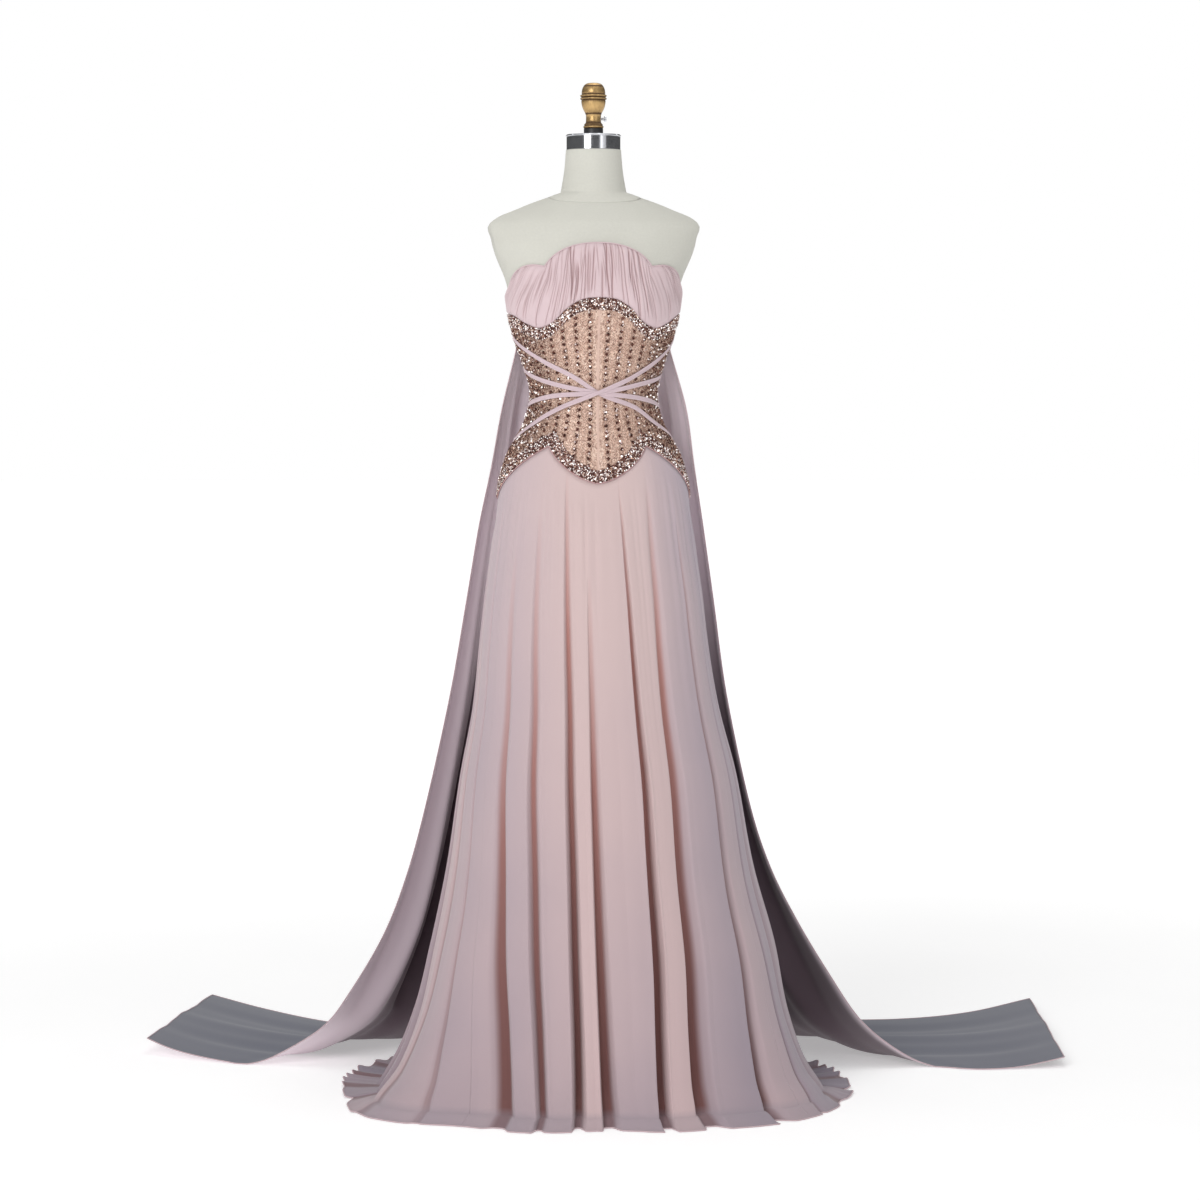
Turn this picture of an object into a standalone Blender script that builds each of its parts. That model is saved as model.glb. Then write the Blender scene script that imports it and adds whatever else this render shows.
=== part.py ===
"""An a-line evening gown, strapless and floor length, on a limbless dress form with its stand.

Metres, +Z up. The front faces -Y and the origin is on the floor, under the form's axis.
Angles round the body are in degrees: 0 is centre front, 90 is the +X side, 180 is centre back.
"""

import math
from collections import namedtuple

import bmesh
import bpy
import numpy as np
from mathutils import Matrix, Vector

# ---------------------------------------------------------------- driving dimensions

SEAM_GAP = 0.0003  # between two pieces that are sewn together
LAY_GAP = 0.0003  # between a panel and a trim that lies on it
CLOTH_WALL = 0.0015
CLOTH_LIFT = 0.0016  # the boned bodice's inner face over the form
BUST_LIFT = 0.0030  # the soft bust's inner face over the form
BODICE_OUT = CLOTH_LIFT + CLOTH_WALL
TRIM_WALL = 0.0018
TRIM_TOP_WIDTH = 0.020
TRIM_LOW_WIDTH = 0.021
FLOOR_CLEAR = 0.0005  # the underside of cloth that lies on the floor

KNOT = 6  # degrees between the corners of the bodice's facets
BUST_SPLIT = 3  # columns of gathers to a facet at the front
BUST_BACK_SPLIT = 2
SKIRT_SPLIT = 2
FORM_STEP = 12

Section = namedtuple("Section", "height half_width front back")
FORM = [
    Section(0.860, 0.1500, 0.0940, 0.1080),
    Section(0.930, 0.1630, 0.1010, 0.1190),
    Section(1.000, 0.1680, 0.1030, 0.1230),
    Section(1.059, 0.1660, 0.1020, 0.1200),
    Section(1.089, 0.1620, 0.1000, 0.1140),
    Section(1.125, 0.1515, 0.0960, 0.1050),
    Section(1.159, 0.1335, 0.0910, 0.0950),
    Section(1.177, 0.1230, 0.0880, 0.0900),
    Section(1.200, 0.1150, 0.0850, 0.0840),
    Section(1.218, 0.1104, 0.0830, 0.0800),
    Section(1.238, 0.1090, 0.0825, 0.0780),
    Section(1.261, 0.1125, 0.0850, 0.0790),
    Section(1.284, 0.1200, 0.0890, 0.0810),
    Section(1.304, 0.1260, 0.0925, 0.0830),
    Section(1.321, 0.1330, 0.0970, 0.0850),
    Section(1.348, 0.1410, 0.1050, 0.0880),
    Section(1.375, 0.1465, 0.1130, 0.0910),
    Section(1.402, 0.1505, 0.1190, 0.0940),
    Section(1.429, 0.1540, 0.1200, 0.0970),
    Section(1.455, 0.1630, 0.1160, 0.0980),
    Section(1.482, 0.1730, 0.1080, 0.0980),
    Section(1.509, 0.1795, 0.0980, 0.0950),
    Section(1.5375, 0.1820, 0.0850, 0.0890),
    Section(1.548, 0.1675, 0.0800, 0.0850),
    Section(1.559, 0.1405, 0.0740, 0.0810),
    Section(1.570, 0.1145, 0.0680, 0.0750),
    Section(1.580, 0.0865, 0.0620, 0.0680),
    Section(1.590, 0.0575, 0.0575, 0.0575),
]
TORSO_LOW = FORM[0].height
CUP_HEIGHT, CUP_SPREAD_UP, CUP_OUT = 1.408, 0.040, 0.011  # the bust's two cups
CUP_ANGLE, CUP_SPREAD = 30, 21
ARM_PLATE_FROM, ARM_PLATE_TO, ARM_FLAT = 1.445, 1.510, 0.06  # the flat plates at the arms

Edge = namedtuple("Edge", "angle height")
NECK_DOME_TOP, NECK_DOME_DROP, NECK_NOTCH = 1.4990, 0.0400, 34
NECK_SIDE = [
    Edge(34, 1.4580),
    Edge(42, 1.4610),
    Edge(50, 1.4590),
    Edge(60, 1.4505),
    Edge(74, 1.4310),
    Edge(84, 1.4170),
    Edge(96, 1.4100),
    Edge(120, 1.4010),
    Edge(150, 1.3910),
    Edge(180, 1.3870),
]
UNDERBUST = [
    Edge(0, 1.4045),
    Edge(12, 1.4005),
    Edge(20, 1.3900),
    Edge(32, 1.3640),
    Edge(45, 1.3525),
    Edge(56, 1.3590),
    Edge(71, 1.3725),
    Edge(90, 1.3775),
    Edge(120, 1.3720),
    Edge(150, 1.3640),
    Edge(180, 1.3600),
]
LOW_CENTRE, LOW_PEAK, LOW_SIDE = 1.0810, 1.1447, 1.0520  # the bodice's lower edge
LOW_PEAK_ANGLE = 36
LOW_DOME_POWER, LOW_SWEEP_POWER = 1.6, 1.13

BODICE_ROWS = (0.14, 0.28, 0.42, 0.57, 0.71, 0.85)  # shares of the height between the two trims
BUST_ROWS = (0.25, 0.5, 0.75, 1.0)
BUST_BACK_ROWS = (0.5, 1.0)
GATHER_RISE = 0.0021
ZIP_FROM, ZIP_FADE = 176, 12  # degrees: the gathers die out towards the zip at centre back
BODY_R, STEEPEST = 0.14, 1.6  # the body's radius where an edge slopes, and the most it widens

SkirtSection = namedtuple("SkirtSection", "height left right front back")
SKIRT = [
    SkirtSection(0.002, 0.386, 0.396, 0.386, 0.368),
    SkirtSection(0.062, 0.350, 0.366, 0.362, 0.344),
    SkirtSection(0.134, 0.321, 0.343, 0.338, 0.323),
    SkirtSection(0.260, 0.290, 0.320, 0.298, 0.292),
    SkirtSection(0.388, 0.262, 0.285, 0.258, 0.259),
    SkirtSection(0.570, 0.234, 0.251, 0.209, 0.217),
    SkirtSection(0.679, 0.214, 0.223, 0.182, 0.194),
    SkirtSection(0.789, 0.2030, 0.2045, 0.159, 0.174),
    SkirtSection(0.880, 0.1935, 0.1940, 0.1420, 0.158),
    SkirtSection(0.952, 0.1840, 0.1840, 0.1290, 0.145),
    SkirtSection(1.060, 0.1710, 0.1710, 0.1130, 0.130),
    SkirtSection(1.160, 0.1560, 0.1560, 0.1000, 0.112),
]
SKIRT_LEVELS = (1.0, 0.95, 0.86, 0.74, 0.60, 0.46, 0.33, 0.21, 0.11, 0.04, 0.0, -1.0)
SKIRT_EASE = 0.09  # how far below the seam the skirt leaves the body's shape
HEM_TOP = FLOOR_CLEAR + CLOTH_WALL  # the upper face of cloth that lies flat
HEM_RIPPLE = 0.009
RIPPLE_MIDDLE, RIPPLE_FOLD = 0.4, 0.020  # the hem lifts on the folds' ridges
FLANGE_FRONT, FLANGE_SIDE, FLANGE_BACK = 0.022, 0.062, 0.055

Flow = namedtuple("Flow", "seam half_way hem")
FLOW = [  # where the cloth that leaves the seam at an angle is half way down and at the hem
    Flow(-180, -180, -180),
    Flow(-125, -124, -118),
    Flow(-90, -89, -77),
    Flow(-66, -63, -42),
    Flow(-50, -48, -27),
    Flow(-20, -15, -9),
    Flow(0, 2, 3),
    Flow(12, 17, 12),
    Flow(30, 31, 22),
    Flow(52, 53, 38),
    Flow(76, 78, 62),
    Flow(101, 101, 90),
    Flow(135, 135, 130),
    Flow(180, 180, 180),
]
Fold = namedtuple("Fold", "angle depth spread start")
FOLDS = [  # angle and spread at the seam in degrees; depth at the hem in mm; start as a level
    Fold(-80, 22, 4.8, 0.75),
    Fold(-69, 26, 5.0, 0.90),
    Fold(-50, 22, 5.4, 0.80),
    Fold(-36, 24, 5.4, 0.85),
    Fold(-20, 36, 6.0, 0.95),
    Fold(-7, 28, 5.2, 0.80),
    Fold(12, 33, 6.0, 0.95),
    Fold(30, 33, 6.2, 0.90),
    Fold(51, 27, 5.8, 0.85),
    Fold(65, 23, 5.0, 0.75),
    Fold(77, 26, 5.0, 0.80),
    Fold(89, 30, 5.0, 0.85),
    Fold(101, 24, 4.6, 0.75),
    Fold(113, 30, 4.8, 0.90),
    Fold(125, 24, 4.4, 0.80),
    Fold(137, 31, 5.0, 0.90),
    Fold(149, 25, 4.6, 0.80),
    Fold(161, 30, 4.8, 0.90),
    Fold(173, 23, 4.4, 0.80),
    Fold(-174, 27, 4.6, 0.85),
    Fold(-162, 29, 4.8, 0.90),
    Fold(-150, 24, 4.6, 0.80),
    Fold(-138, 31, 5.0, 0.90),
    Fold(-126, 25, 4.6, 0.80),
    Fold(-114, 29, 4.8, 0.85),
    Fold(-102, 24, 4.6, 0.75),
    Fold(-90, 29, 5.0, 0.85),
]
RIDGE_SHARE = 0.5  # how much of the folds' mean depth the ridges between them stand out by

Gore = namedtuple("Gore", "name start end")
GORES = [
    Gore("skirt_front", -60, 60),
    Gore("skirt_side_right", 60, 120),
    Gore("skirt_back_right", 120, 180),
    Gore("skirt_side_left", -120, -60),
    Gore("skirt_back_left", -180, -120),
]

BAND_WIDTH, BAND_WALL, BAND_LIFT = 0.0085, 0.0010, 0.0009
BAND_STACK = 0.0015  # each band over the one below it at the crossing
STACK_FULL, STACK_END = 20, 44  # degrees within which the bands lie on each other
BAND_END = 89  # degrees from centre front, just short of the side seam
WAIST_R = 0.115  # the body's mean radius where the bands lie
Waypoint = namedtuple("Waypoint", "angle height")
BANDS = {
    "band_high_left": [
        Waypoint(-88, 1.3360),
        Waypoint(-69, 1.3180),
        Waypoint(-47, 1.2935),
        Waypoint(-23, 1.2690),
        Waypoint(0, 1.2386),
        Waypoint(39, 1.2077),
        Waypoint(54, 1.1880),
        Waypoint(88, 1.1570),
    ],
    "band_mid_left": [
        Waypoint(-88, 1.2804),
        Waypoint(-57, 1.2623),
        Waypoint(0, 1.2386),
        Waypoint(41, 1.2288),
        Waypoint(88, 1.2116),
    ],
    "band_mid_right": [
        Waypoint(-88, 1.2166),
        Waypoint(-41, 1.2330),
        Waypoint(0, 1.2386),
        Waypoint(40, 1.2535),
        Waypoint(88, 1.2705),
    ],
    "band_high_right": [
        Waypoint(-88, 1.1527),
        Waypoint(-47, 1.1988),
        Waypoint(0, 1.2386),
        Waypoint(37, 1.2730),
        Waypoint(61, 1.3000),
        Waypoint(88, 1.3360),
    ],
}

STREAMER_TOP, STREAMER_SEWN = 1.334, 0.014  # height of the sewn edge, and its sewn depth
STREAMER_START, STREAMER_END = 96, 152  # degrees round the body that the sewn edge takes
STREAMER_COLUMNS, STREAMER_FOLDS = 10, 2.5
STREAMER_FLAT = 0.20  # the sum of its edges' heights below which it turns to lie flat
Row = namedtuple("Row", "front_x front_y front_z back_x back_y back_z bulge fold")
STREAMER_LEFT = [  # the front and back edges; bulge and fold in metres
    Row(-0.1585, 0.059, 1.210, -0.078, 0.128, 1.215, 0.016, 0.006),
    Row(-0.1770, 0.066, 1.107, -0.082, 0.153, 1.110, 0.020, 0.009),
    Row(-0.1990, 0.078, 1.000, -0.088, 0.176, 1.000, 0.024, 0.012),
    Row(-0.2220, 0.090, 0.860, -0.094, 0.206, 0.860, 0.028, 0.014),
    Row(-0.2496, 0.107, 0.697, -0.102, 0.245, 0.690, 0.032, 0.017),
    Row(-0.2917, 0.131, 0.500, -0.114, 0.303, 0.490, 0.036, 0.020),
    Row(-0.3272, 0.149, 0.364, -0.126, 0.350, 0.340, 0.038, 0.024),
    Row(-0.3693, 0.173, 0.250, -0.142, 0.396, 0.210, 0.036, 0.026),
    Row(-0.4313, 0.198, 0.140, -0.160, 0.440, 0.105, 0.030, 0.024),
    Row(-0.4811, 0.215, 0.074, -0.178, 0.478, 0.045, 0.020, 0.018),
    Row(-0.5666, 0.235, 0.019, -0.200, 0.512, 0.008, 0.010, 0.012),
    Row(-0.6200, 0.245, 0.002, -0.240, 0.545, 0.002, 0.004, 0.010),
    Row(-0.6605, 0.264, 0.004, -0.360, 0.600, 0.002, 0.000, 0.009),
    Row(-0.7200, 0.302, 0.010, -0.475, 0.680, 0.004, 0.000, 0.008),
    Row(-0.7680, 0.340, 0.018, -0.590, 0.810, 0.008, 0.000, 0.006),
    Row(-0.8067, 0.372, 0.030, -0.694, 0.944, 0.015, 0.000, 0.003),
]
STREAMER_RIGHT = [
    Row(0.1683, 0.030, 1.210, 0.080, 0.126, 1.215, 0.016, 0.006),
    Row(0.1837, 0.036, 1.107, 0.084, 0.152, 1.110, 0.020, 0.009),
    Row(0.2010, 0.046, 1.000, 0.090, 0.176, 1.000, 0.024, 0.012),
    Row(0.2223, 0.058, 0.860, 0.097, 0.207, 0.860, 0.028, 0.014),
    Row(0.2465, 0.070, 0.697, 0.106, 0.247, 0.690, 0.032, 0.017),
    Row(0.2901, 0.086, 0.500, 0.119, 0.306, 0.490, 0.036, 0.020),
    Row(0.3300, 0.100, 0.380, 0.134, 0.352, 0.350, 0.038, 0.024),
    Row(0.3800, 0.108, 0.280, 0.152, 0.400, 0.220, 0.036, 0.026),
    Row(0.4400, 0.114, 0.180, 0.172, 0.445, 0.110, 0.030, 0.024),
    Row(0.5029, 0.115, 0.088, 0.195, 0.485, 0.050, 0.020, 0.018),
    Row(0.5743, 0.110, 0.030, 0.225, 0.530, 0.010, 0.010, 0.012),
    Row(0.6396, 0.105, 0.002, 0.290, 0.575, 0.002, 0.004, 0.010),
    Row(0.7092, 0.075, 0.002, 0.450, 0.615, 0.002, 0.000, 0.009),
    Row(0.7800, 0.074, 0.004, 0.650, 0.605, 0.003, 0.000, 0.008),
    Row(0.8350, 0.079, 0.012, 0.800, 0.640, 0.008, 0.000, 0.006),
    Row(0.8753, 0.084, 0.020, 0.949, 0.753, 0.015, 0.000, 0.003),
]

Ring = namedtuple("Ring", "radius height")
BASE = [  # the stand's round base with its hub
    Ring(0.168, 0),
    Ring(0.170, 0.002),
    Ring(0.170, 0.012),
    Ring(0.0935, 0.021),
    Ring(0.038, 0.030),
    Ring(0.026, 0.040),
    Ring(0.026, 0.075),
]
POLE_R = 0.0125
NECK = [Ring(0.0575, 1.5903), Ring(0.05125, 1.6280), Ring(0.0480, 1.6657)]
CAP = [  # the chrome cap, with a small raised rim
    Ring(0.0475, 1.6660),
    Ring(0.0475, 1.6890),
    Ring(0.0485, 1.6896),
    Ring(0.0485, 1.6918),
    Ring(0.0469, 1.6930),
]
COLLAR = [Ring(0.0170, 1.6933), Ring(0.0170, 1.7035)]
FINIAL_NECK_R = 0.0134
FINIAL = [  # a base ring, neck, flared cup, two rings and a dome
    Ring(0.0172, 1.7038),
    Ring(0.0178, 1.7062),
    Ring(0.0172, 1.7110),
    Ring(FINIAL_NECK_R, 1.7134),
    Ring(FINIAL_NECK_R, 1.7282),
    Ring(0.0160, 1.7340),
    Ring(0.0206, 1.7440),
    Ring(0.0215, 1.7528),
    Ring(0.0235, 1.7540),
    Ring(0.0235, 1.7570),
    Ring(0.0226, 1.7578),
    Ring(0.0226, 1.7594),
    Ring(0.0235, 1.7602),
    Ring(0.0235, 1.7630),
    Ring(0.0211, 1.7648),
    Ring(0.0191, 1.7724),
    Ring(0.0142, 1.7787),
    Ring(0.0079, 1.7825),
    Ring(0.0030, 1.7840),
]
SCREW_HEIGHT, SCREW_SHANK_R, SCREW_SHANK = 1.7205, 0.0022, 0.0050
SCREW_HEAD_R, SCREW_HEAD = 0.0048, 0.0040
SCREW_SIDES, SCREW_NOTCH = 16, 0.84  # every second corner of the head is cut in

SLIDER_HEIGHT = 1.3790  # the zip's slider, closed at the top of the centre back
SLIDER_SIZE = Vector((0.0052, 0.0018, 0.0090))
BAIL_WIDTH, BAIL_LENGTH, BAIL_RISE = 0.0012, 0.0044, 0.0032
BAIL_OPEN = 0.0022  # the square opening under the bail
TAB_WIDTH, TAB_LENGTH, TAB_WALL = 0.0040, 0.0200, 0.0009
TAB_WINDOW_WIDTH, TAB_WINDOW_LENGTH = 0.0020, 0.0040
BAIL_SUNK = 0.0004  # how far the bail runs into the slider's plate

# ---------------------------------------------------------------- materials

COLOURS = {
    "linen": ((0.66, 0.65, 0.61), 0.90, 0.0),
    "chrome": ((0.80, 0.80, 0.82), 0.12, 1.0),
    "black_plastic": ((0.02, 0.02, 0.02), 0.45, 0.0),
    "antique_brass": ((0.36, 0.25, 0.12), 0.35, 1.0),
    "painted_steel": ((0.05, 0.05, 0.05), 0.45, 0.0),
    "bust_chiffon": ((0.72, 0.60, 0.63), 0.75, 0.0),
    "beaded_net": ((0.62, 0.45, 0.38), 0.55, 0.2),
    "bead_trim": ((0.60, 0.48, 0.44), 0.35, 0.5),
    "band_chiffon": ((0.62, 0.52, 0.55), 0.75, 0.0),
    "skirt_chiffon": ((0.66, 0.55, 0.57), 0.80, 0.0),
    "streamer_chiffon": ((0.42, 0.38, 0.41), 0.80, 0.0),
    "zip_metal": ((0.70, 0.66, 0.62), 0.30, 1.0),
}


def finish(name):
    """A Principled material of the named finish, made once."""
    if name in bpy.data.materials:
        return bpy.data.materials[name]
    colour, roughness, metallic = COLOURS[name]
    made = bpy.data.materials.new(name)
    made.use_nodes = True
    shader = made.node_tree.nodes["Principled BSDF"]
    shader.inputs["Base Color"].default_value = (*colour, 1)
    shader.inputs["Roughness"].default_value = roughness
    shader.inputs["Metallic"].default_value = metallic
    return made


# ---------------------------------------------------------------- curves and surfaces


def curve(table, key, value, at):
    """A smooth curve through a table's points, read at some of its key's values."""
    rows = sorted(table, key=lambda row: getattr(row, key))
    x = np.array([getattr(row, key) for row in rows], float)
    y = np.array([getattr(row, value) for row in rows], float)
    slope = np.gradient(y, x)
    at = np.clip(np.asarray(at, float), x[0], x[-1])
    i = np.clip(np.searchsorted(x, at) - 1, 0, len(x) - 2)
    step = x[i + 1] - x[i]
    t = (at - x[i]) / step
    rise = y[i + 1] - y[i]
    bend_in = slope[i] * step - rise
    bend_out = rise - slope[i + 1] * step
    return y[i] + t * rise + t * (1 - t) * ((1 - t) * bend_in + t * bend_out)


def eased(share):
    """0 to 1 with level ends."""
    share = np.clip(share, 0, 1)
    return share * share * (3 - 2 * share)


def stack(x, y, z):
    return np.stack(np.broadcast_arrays(x, y, z), axis=-1)


def body(angle, height):
    """The dress form's surface."""
    turn = np.radians(angle)
    wide = curve(FORM, "height", "half_width", height)
    front = curve(FORM, "height", "front", height)
    back = curve(FORM, "height", "back", height)
    forward = np.cos(turn)
    depth = np.where(forward > 0, front, back)
    round_cup = sum(
        np.exp(-(((angle - side * CUP_ANGLE) / CUP_SPREAD) ** 2)) for side in (-1, 1)
    )
    cup = CUP_OUT * round_cup * np.exp(-(((height - CUP_HEIGHT) / CUP_SPREAD_UP) ** 2))
    plate = 1 + ARM_FLAT * eased((height - ARM_PLATE_FROM) / (ARM_PLATE_TO - ARM_PLATE_FROM))
    across = np.clip(wide * plate * np.sin(turn), -wide, wide)
    return stack(across, -depth * forward - cup, height)


def laid(surface, angle, level, out):
    """Points of a surface, moved out along its normal."""
    angle, level = np.broadcast_arrays(
        np.asarray(angle, float), np.asarray(level, float)
    )
    turn, rise = 0.05, 0.0005
    along = surface(angle + turn, level) - surface(angle - turn, level)
    up = surface(angle, level + rise) - surface(angle, level - rise)
    normal = np.cross(along, up)
    normal /= np.linalg.norm(normal, axis=-1, keepdims=True)
    return surface(angle, level) + np.asarray(out, float)[..., None] * normal


def neckline(angle):
    off = np.abs(angle)
    dome = NECK_DOME_TOP - NECK_DOME_DROP * (off / NECK_NOTCH) ** 2.2
    return np.where(off < NECK_NOTCH, dome, curve(NECK_SIDE, "angle", "height", off))


def underbust(angle):
    return curve(UNDERBUST, "angle", "height", np.abs(angle))


def low_edge(angle):
    """The bodice's lower edge: a dip at centre front and back, peaks, and a drop to the sides."""
    off = np.abs(angle)
    off = np.where(off > 90, np.abs(180 - off), off)
    dip = LOW_CENTRE + (LOW_PEAK - LOW_CENTRE) * (off / LOW_PEAK_ANGLE) ** LOW_DOME_POWER
    past = np.clip((off - LOW_PEAK_ANGLE) / (90 - LOW_PEAK_ANGLE), 0, 1)
    drop = LOW_PEAK - (LOW_PEAK - LOW_SIDE) * past**LOW_SWEEP_POWER
    return np.where(off < LOW_PEAK_ANGLE, dip, drop)


def steepness(edge, angle):
    """How much longer a sloping edge is than its angle alone would make it."""
    run = math.radians(2) * BODY_R
    rise = (edge(angle + 1) - edge(angle - 1)) / run
    return np.minimum(np.sqrt(1 + rise**2), STEEPEST)


def half_gap(edge, angle):
    return SEAM_GAP / 2 * steepness(edge, angle)


def flowed(seam, level):
    """The angle of the cloth that leaves the seam at an angle: folds gather towards the front."""
    down = np.clip(1 - level, 0, 1)
    half_way = curve(FLOW, "seam", "half_way", seam)
    hem = curve(FLOW, "seam", "hem", seam)
    upper = (half_way - seam) * eased(down / 0.5)
    return seam + upper + (hem - half_way) * eased((down - 0.5) / 0.5)


def folds(seam, level):
    """The skirt's folds: how far a point lies in or out, in metres."""
    down = np.clip(1 - level, 0, 1)
    move = np.zeros(np.broadcast(seam, level).shape)
    for fold in FOLDS:
        off = (seam - fold.angle + 180) % 360 - 180
        deep = fold.depth / 1000 * eased((down - (1 - fold.start)) / 0.9) ** 0.8
        mean = fold.spread * math.sqrt(math.pi) / 360
        move -= deep * (np.exp(-((off / fold.spread) ** 2)) - RIDGE_SHARE * mean)
    return move


def skirt(seam, level):
    """The skirt: level 1 is its seam, 0 is where it meets the floor, -1 is the hem's edge."""
    angle = flowed(seam, level)
    turn = np.radians(angle)
    top = low_edge(seam) - half_gap(low_edge, seam)
    height = HEM_TOP + (top - HEM_TOP) * np.clip(level, 0, None)
    side = np.where(
        np.sin(turn) > 0,
        curve(SKIRT, "height", "right", height),
        curve(SKIRT, "height", "left", height),
    )
    forward = np.cos(turn)
    depth = np.where(
        forward > 0,
        curve(SKIRT, "height", "front", height),
        curve(SKIRT, "height", "back", height),
    )
    fold = folds(seam, level)
    out = np.clip(-level, 0, None)
    rear = np.where(forward > 0, FLANGE_FRONT, FLANGE_BACK)
    flange = (FLANGE_SIDE + (rear - FLANGE_SIDE) * forward**2) * out
    lift = HEM_RIPPLE * out * np.clip(RIPPLE_MIDDLE + fold / RIPPLE_FOLD, 0, 1)
    hangs = stack(
        (side + fold + flange) * np.sin(turn),
        -(depth + fold + flange) * forward,
        height + lift,
    )
    snug = laid(body, angle, height, BODICE_OUT)
    away = eased((top - height) / SKIRT_EASE)[..., None]
    return snug * (1 - away) + hangs * away


# ---------------------------------------------------------------- solids


def made_object(name, mesh, colour):
    mesh.materials.append(finish(colour))
    thing = bpy.data.objects.new(name, mesh)
    bpy.context.scene.collection.objects.link(thing)
    return thing


def closed_object(name, shape, colour, sharp_from=40):
    """An object of a bmesh, with its faces pointing out."""
    bmesh.ops.recalc_face_normals(shape, faces=shape.faces)
    mesh = bpy.data.meshes.new(name)
    shape.to_mesh(mesh)
    shape.free()
    mesh.shade_smooth()
    mesh.set_sharp_from_angle(angle=math.radians(sharp_from))
    return made_object(name, mesh, colour)


def wall(name, outer, inner, colour):
    """A closed wall between two grids of points, each of rows by columns."""
    rows, columns = outer.shape[:2]
    shape = bmesh.new()
    faces = [
        [[shape.verts.new(point) for point in row] for row in grid]
        for grid in (outer, inner)
    ]
    for grid, flip in zip(faces, (False, True), strict=True):
        for i in range(rows - 1):
            for j in range(columns - 1):
                near, far = grid[i][j], grid[i + 1][j + 1]
                for corners in ((near, grid[i][j + 1], far), (near, far, grid[i + 1][j])):
                    shape.faces.new(corners[::-1] if flip else corners)
    rim = (
        [(0, j) for j in range(columns)]
        + [(i, columns - 1) for i in range(1, rows)]
        + [(rows - 1, j) for j in range(columns - 2, -1, -1)]
        + [(i, 0) for i in range(rows - 2, 0, -1)]
    )
    for (i, j), (k, m) in zip(rim, rim[1:] + rim[:1], strict=True):
        shape.faces.new([faces[0][k][m], faces[0][i][j], faces[1][i][j], faces[1][k][m]])
    return closed_object(name, shape, colour)


def parted(grid):
    """A panel's grid with its two side edges moved in by half a seam's gap."""
    grid = grid.copy()
    for edge, inside in ((0, 1), (-1, -2)):
        way = grid[:, inside] - grid[:, edge]
        way /= np.linalg.norm(way, axis=-1, keepdims=True)
        grid[:, edge] += way * SEAM_GAP / 2
    return grid


def straightened(points, split):
    """A row of points set on straight runs between every split-th one, as the next panel's are."""
    knots = points[::split]
    at = np.arange(len(points)) / split
    return np.stack(
        [np.interp(at, np.arange(len(knots)), knots[:, k]) for k in range(3)], axis=-1
    )


def around(start, end, step):
    return np.linspace(start, end, round((end - start) / step) + 1)


def turned(name, profile, colour, sides):
    """A solid turned about Z from rings, bottom to top."""
    shape = bmesh.new()
    low, high = profile[0][1], profile[-1][1]
    line = [(0, low), *profile, (0, high)]
    points = [shape.verts.new((radius, 0, height)) for radius, height in line]
    edges = [shape.edges.new(pair) for pair in zip(points, points[1:], strict=False)]
    bmesh.ops.spin(
        shape,
        geom=points + edges,
        cent=(0, 0, 0),
        axis=(0, 0, 1),
        angle=math.tau,
        steps=sides,
        use_merge=True,
    )
    bmesh.ops.remove_doubles(shape, verts=shape.verts, dist=1e-6)
    return closed_object(name, shape, colour)


def box(name, centre, size, colour):
    shape = bmesh.new()
    place = Matrix.Translation(centre) @ Matrix.Diagonal((*size, 1))
    bmesh.ops.create_cube(shape, size=1, matrix=place)
    return closed_object(name, shape, colour)


def joined(base, other, operation):
    """A Boolean of base with other, whose own object is then only a guide."""
    step = base.modifiers.new(other.name, "BOOLEAN")
    step.operation = operation
    step.object = other
    other.hide_render = True
    other.display_type = "WIRE"
    return base


# ---------------------------------------------------------------- the form and its stand


def dress_form():
    """The linen torso, a closed solid with a flat base, and its neck."""
    angles = np.arange(0, 360, FORM_STEP)
    shape = bmesh.new()
    rings = []
    for section in FORM:
        signed = (angles + 180) % 360 - 180
        ring = body(signed.astype(float), section.height)
        rings.append([shape.verts.new(point) for point in ring])
    for lower, upper in zip(rings, rings[1:], strict=False):
        for j in range(len(angles)):
            k = (j + 1) % len(angles)
            shape.faces.new([lower[j], lower[k], upper[k], upper[j]])
    shape.faces.new(rings[0][::-1])
    shape.faces.new(rings[-1])
    closed_object("form_torso", shape, "linen", 60)
    turned("form_neck", NECK, "linen", 24)


def neck_hardware():
    """The chrome cap, black collar, brass finial and its thumb screw, on top of the neck."""
    turned("neck_cap", CAP, "chrome", 24)
    turned("finial_collar", COLLAR, "black_plastic", 16)
    turned("finial", FINIAL, "antique_brass", 16)
    screw_start = FINIAL_NECK_R + LAY_GAP
    profile = [
        Ring(SCREW_SHANK_R, 0),
        Ring(SCREW_SHANK_R, SCREW_SHANK),
        Ring(SCREW_HEAD_R, SCREW_SHANK),
        Ring(SCREW_HEAD_R, SCREW_SHANK + SCREW_HEAD),
    ]
    screw = turned("thumb_screw", profile, "chrome", SCREW_SIDES)
    side = math.tau / SCREW_SIDES
    for vertex in screw.data.vertices:
        on_head = math.hypot(vertex.co.x, vertex.co.y) > (SCREW_SHANK_R + SCREW_HEAD_R) / 2
        if on_head and round(math.atan2(vertex.co.y, vertex.co.x) / side) % 2:
            vertex.co.x *= SCREW_NOTCH
            vertex.co.y *= SCREW_NOTCH
    screw.data.transform(Matrix.Rotation(math.radians(90), 4, "Y"))
    screw.location = (screw_start, 0, SCREW_HEIGHT)


def stand():
    """A plain round base with a hub, and the pole that carries the torso."""
    turned("stand_base", BASE, "painted_steel", 24)
    pole = [Ring(POLE_R, BASE[-1].height + LAY_GAP), Ring(POLE_R, TORSO_LOW - LAY_GAP)]
    turned("stand_pole", pole, "painted_steel", 12)


# ---------------------------------------------------------------- the gown's upper part


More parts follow.
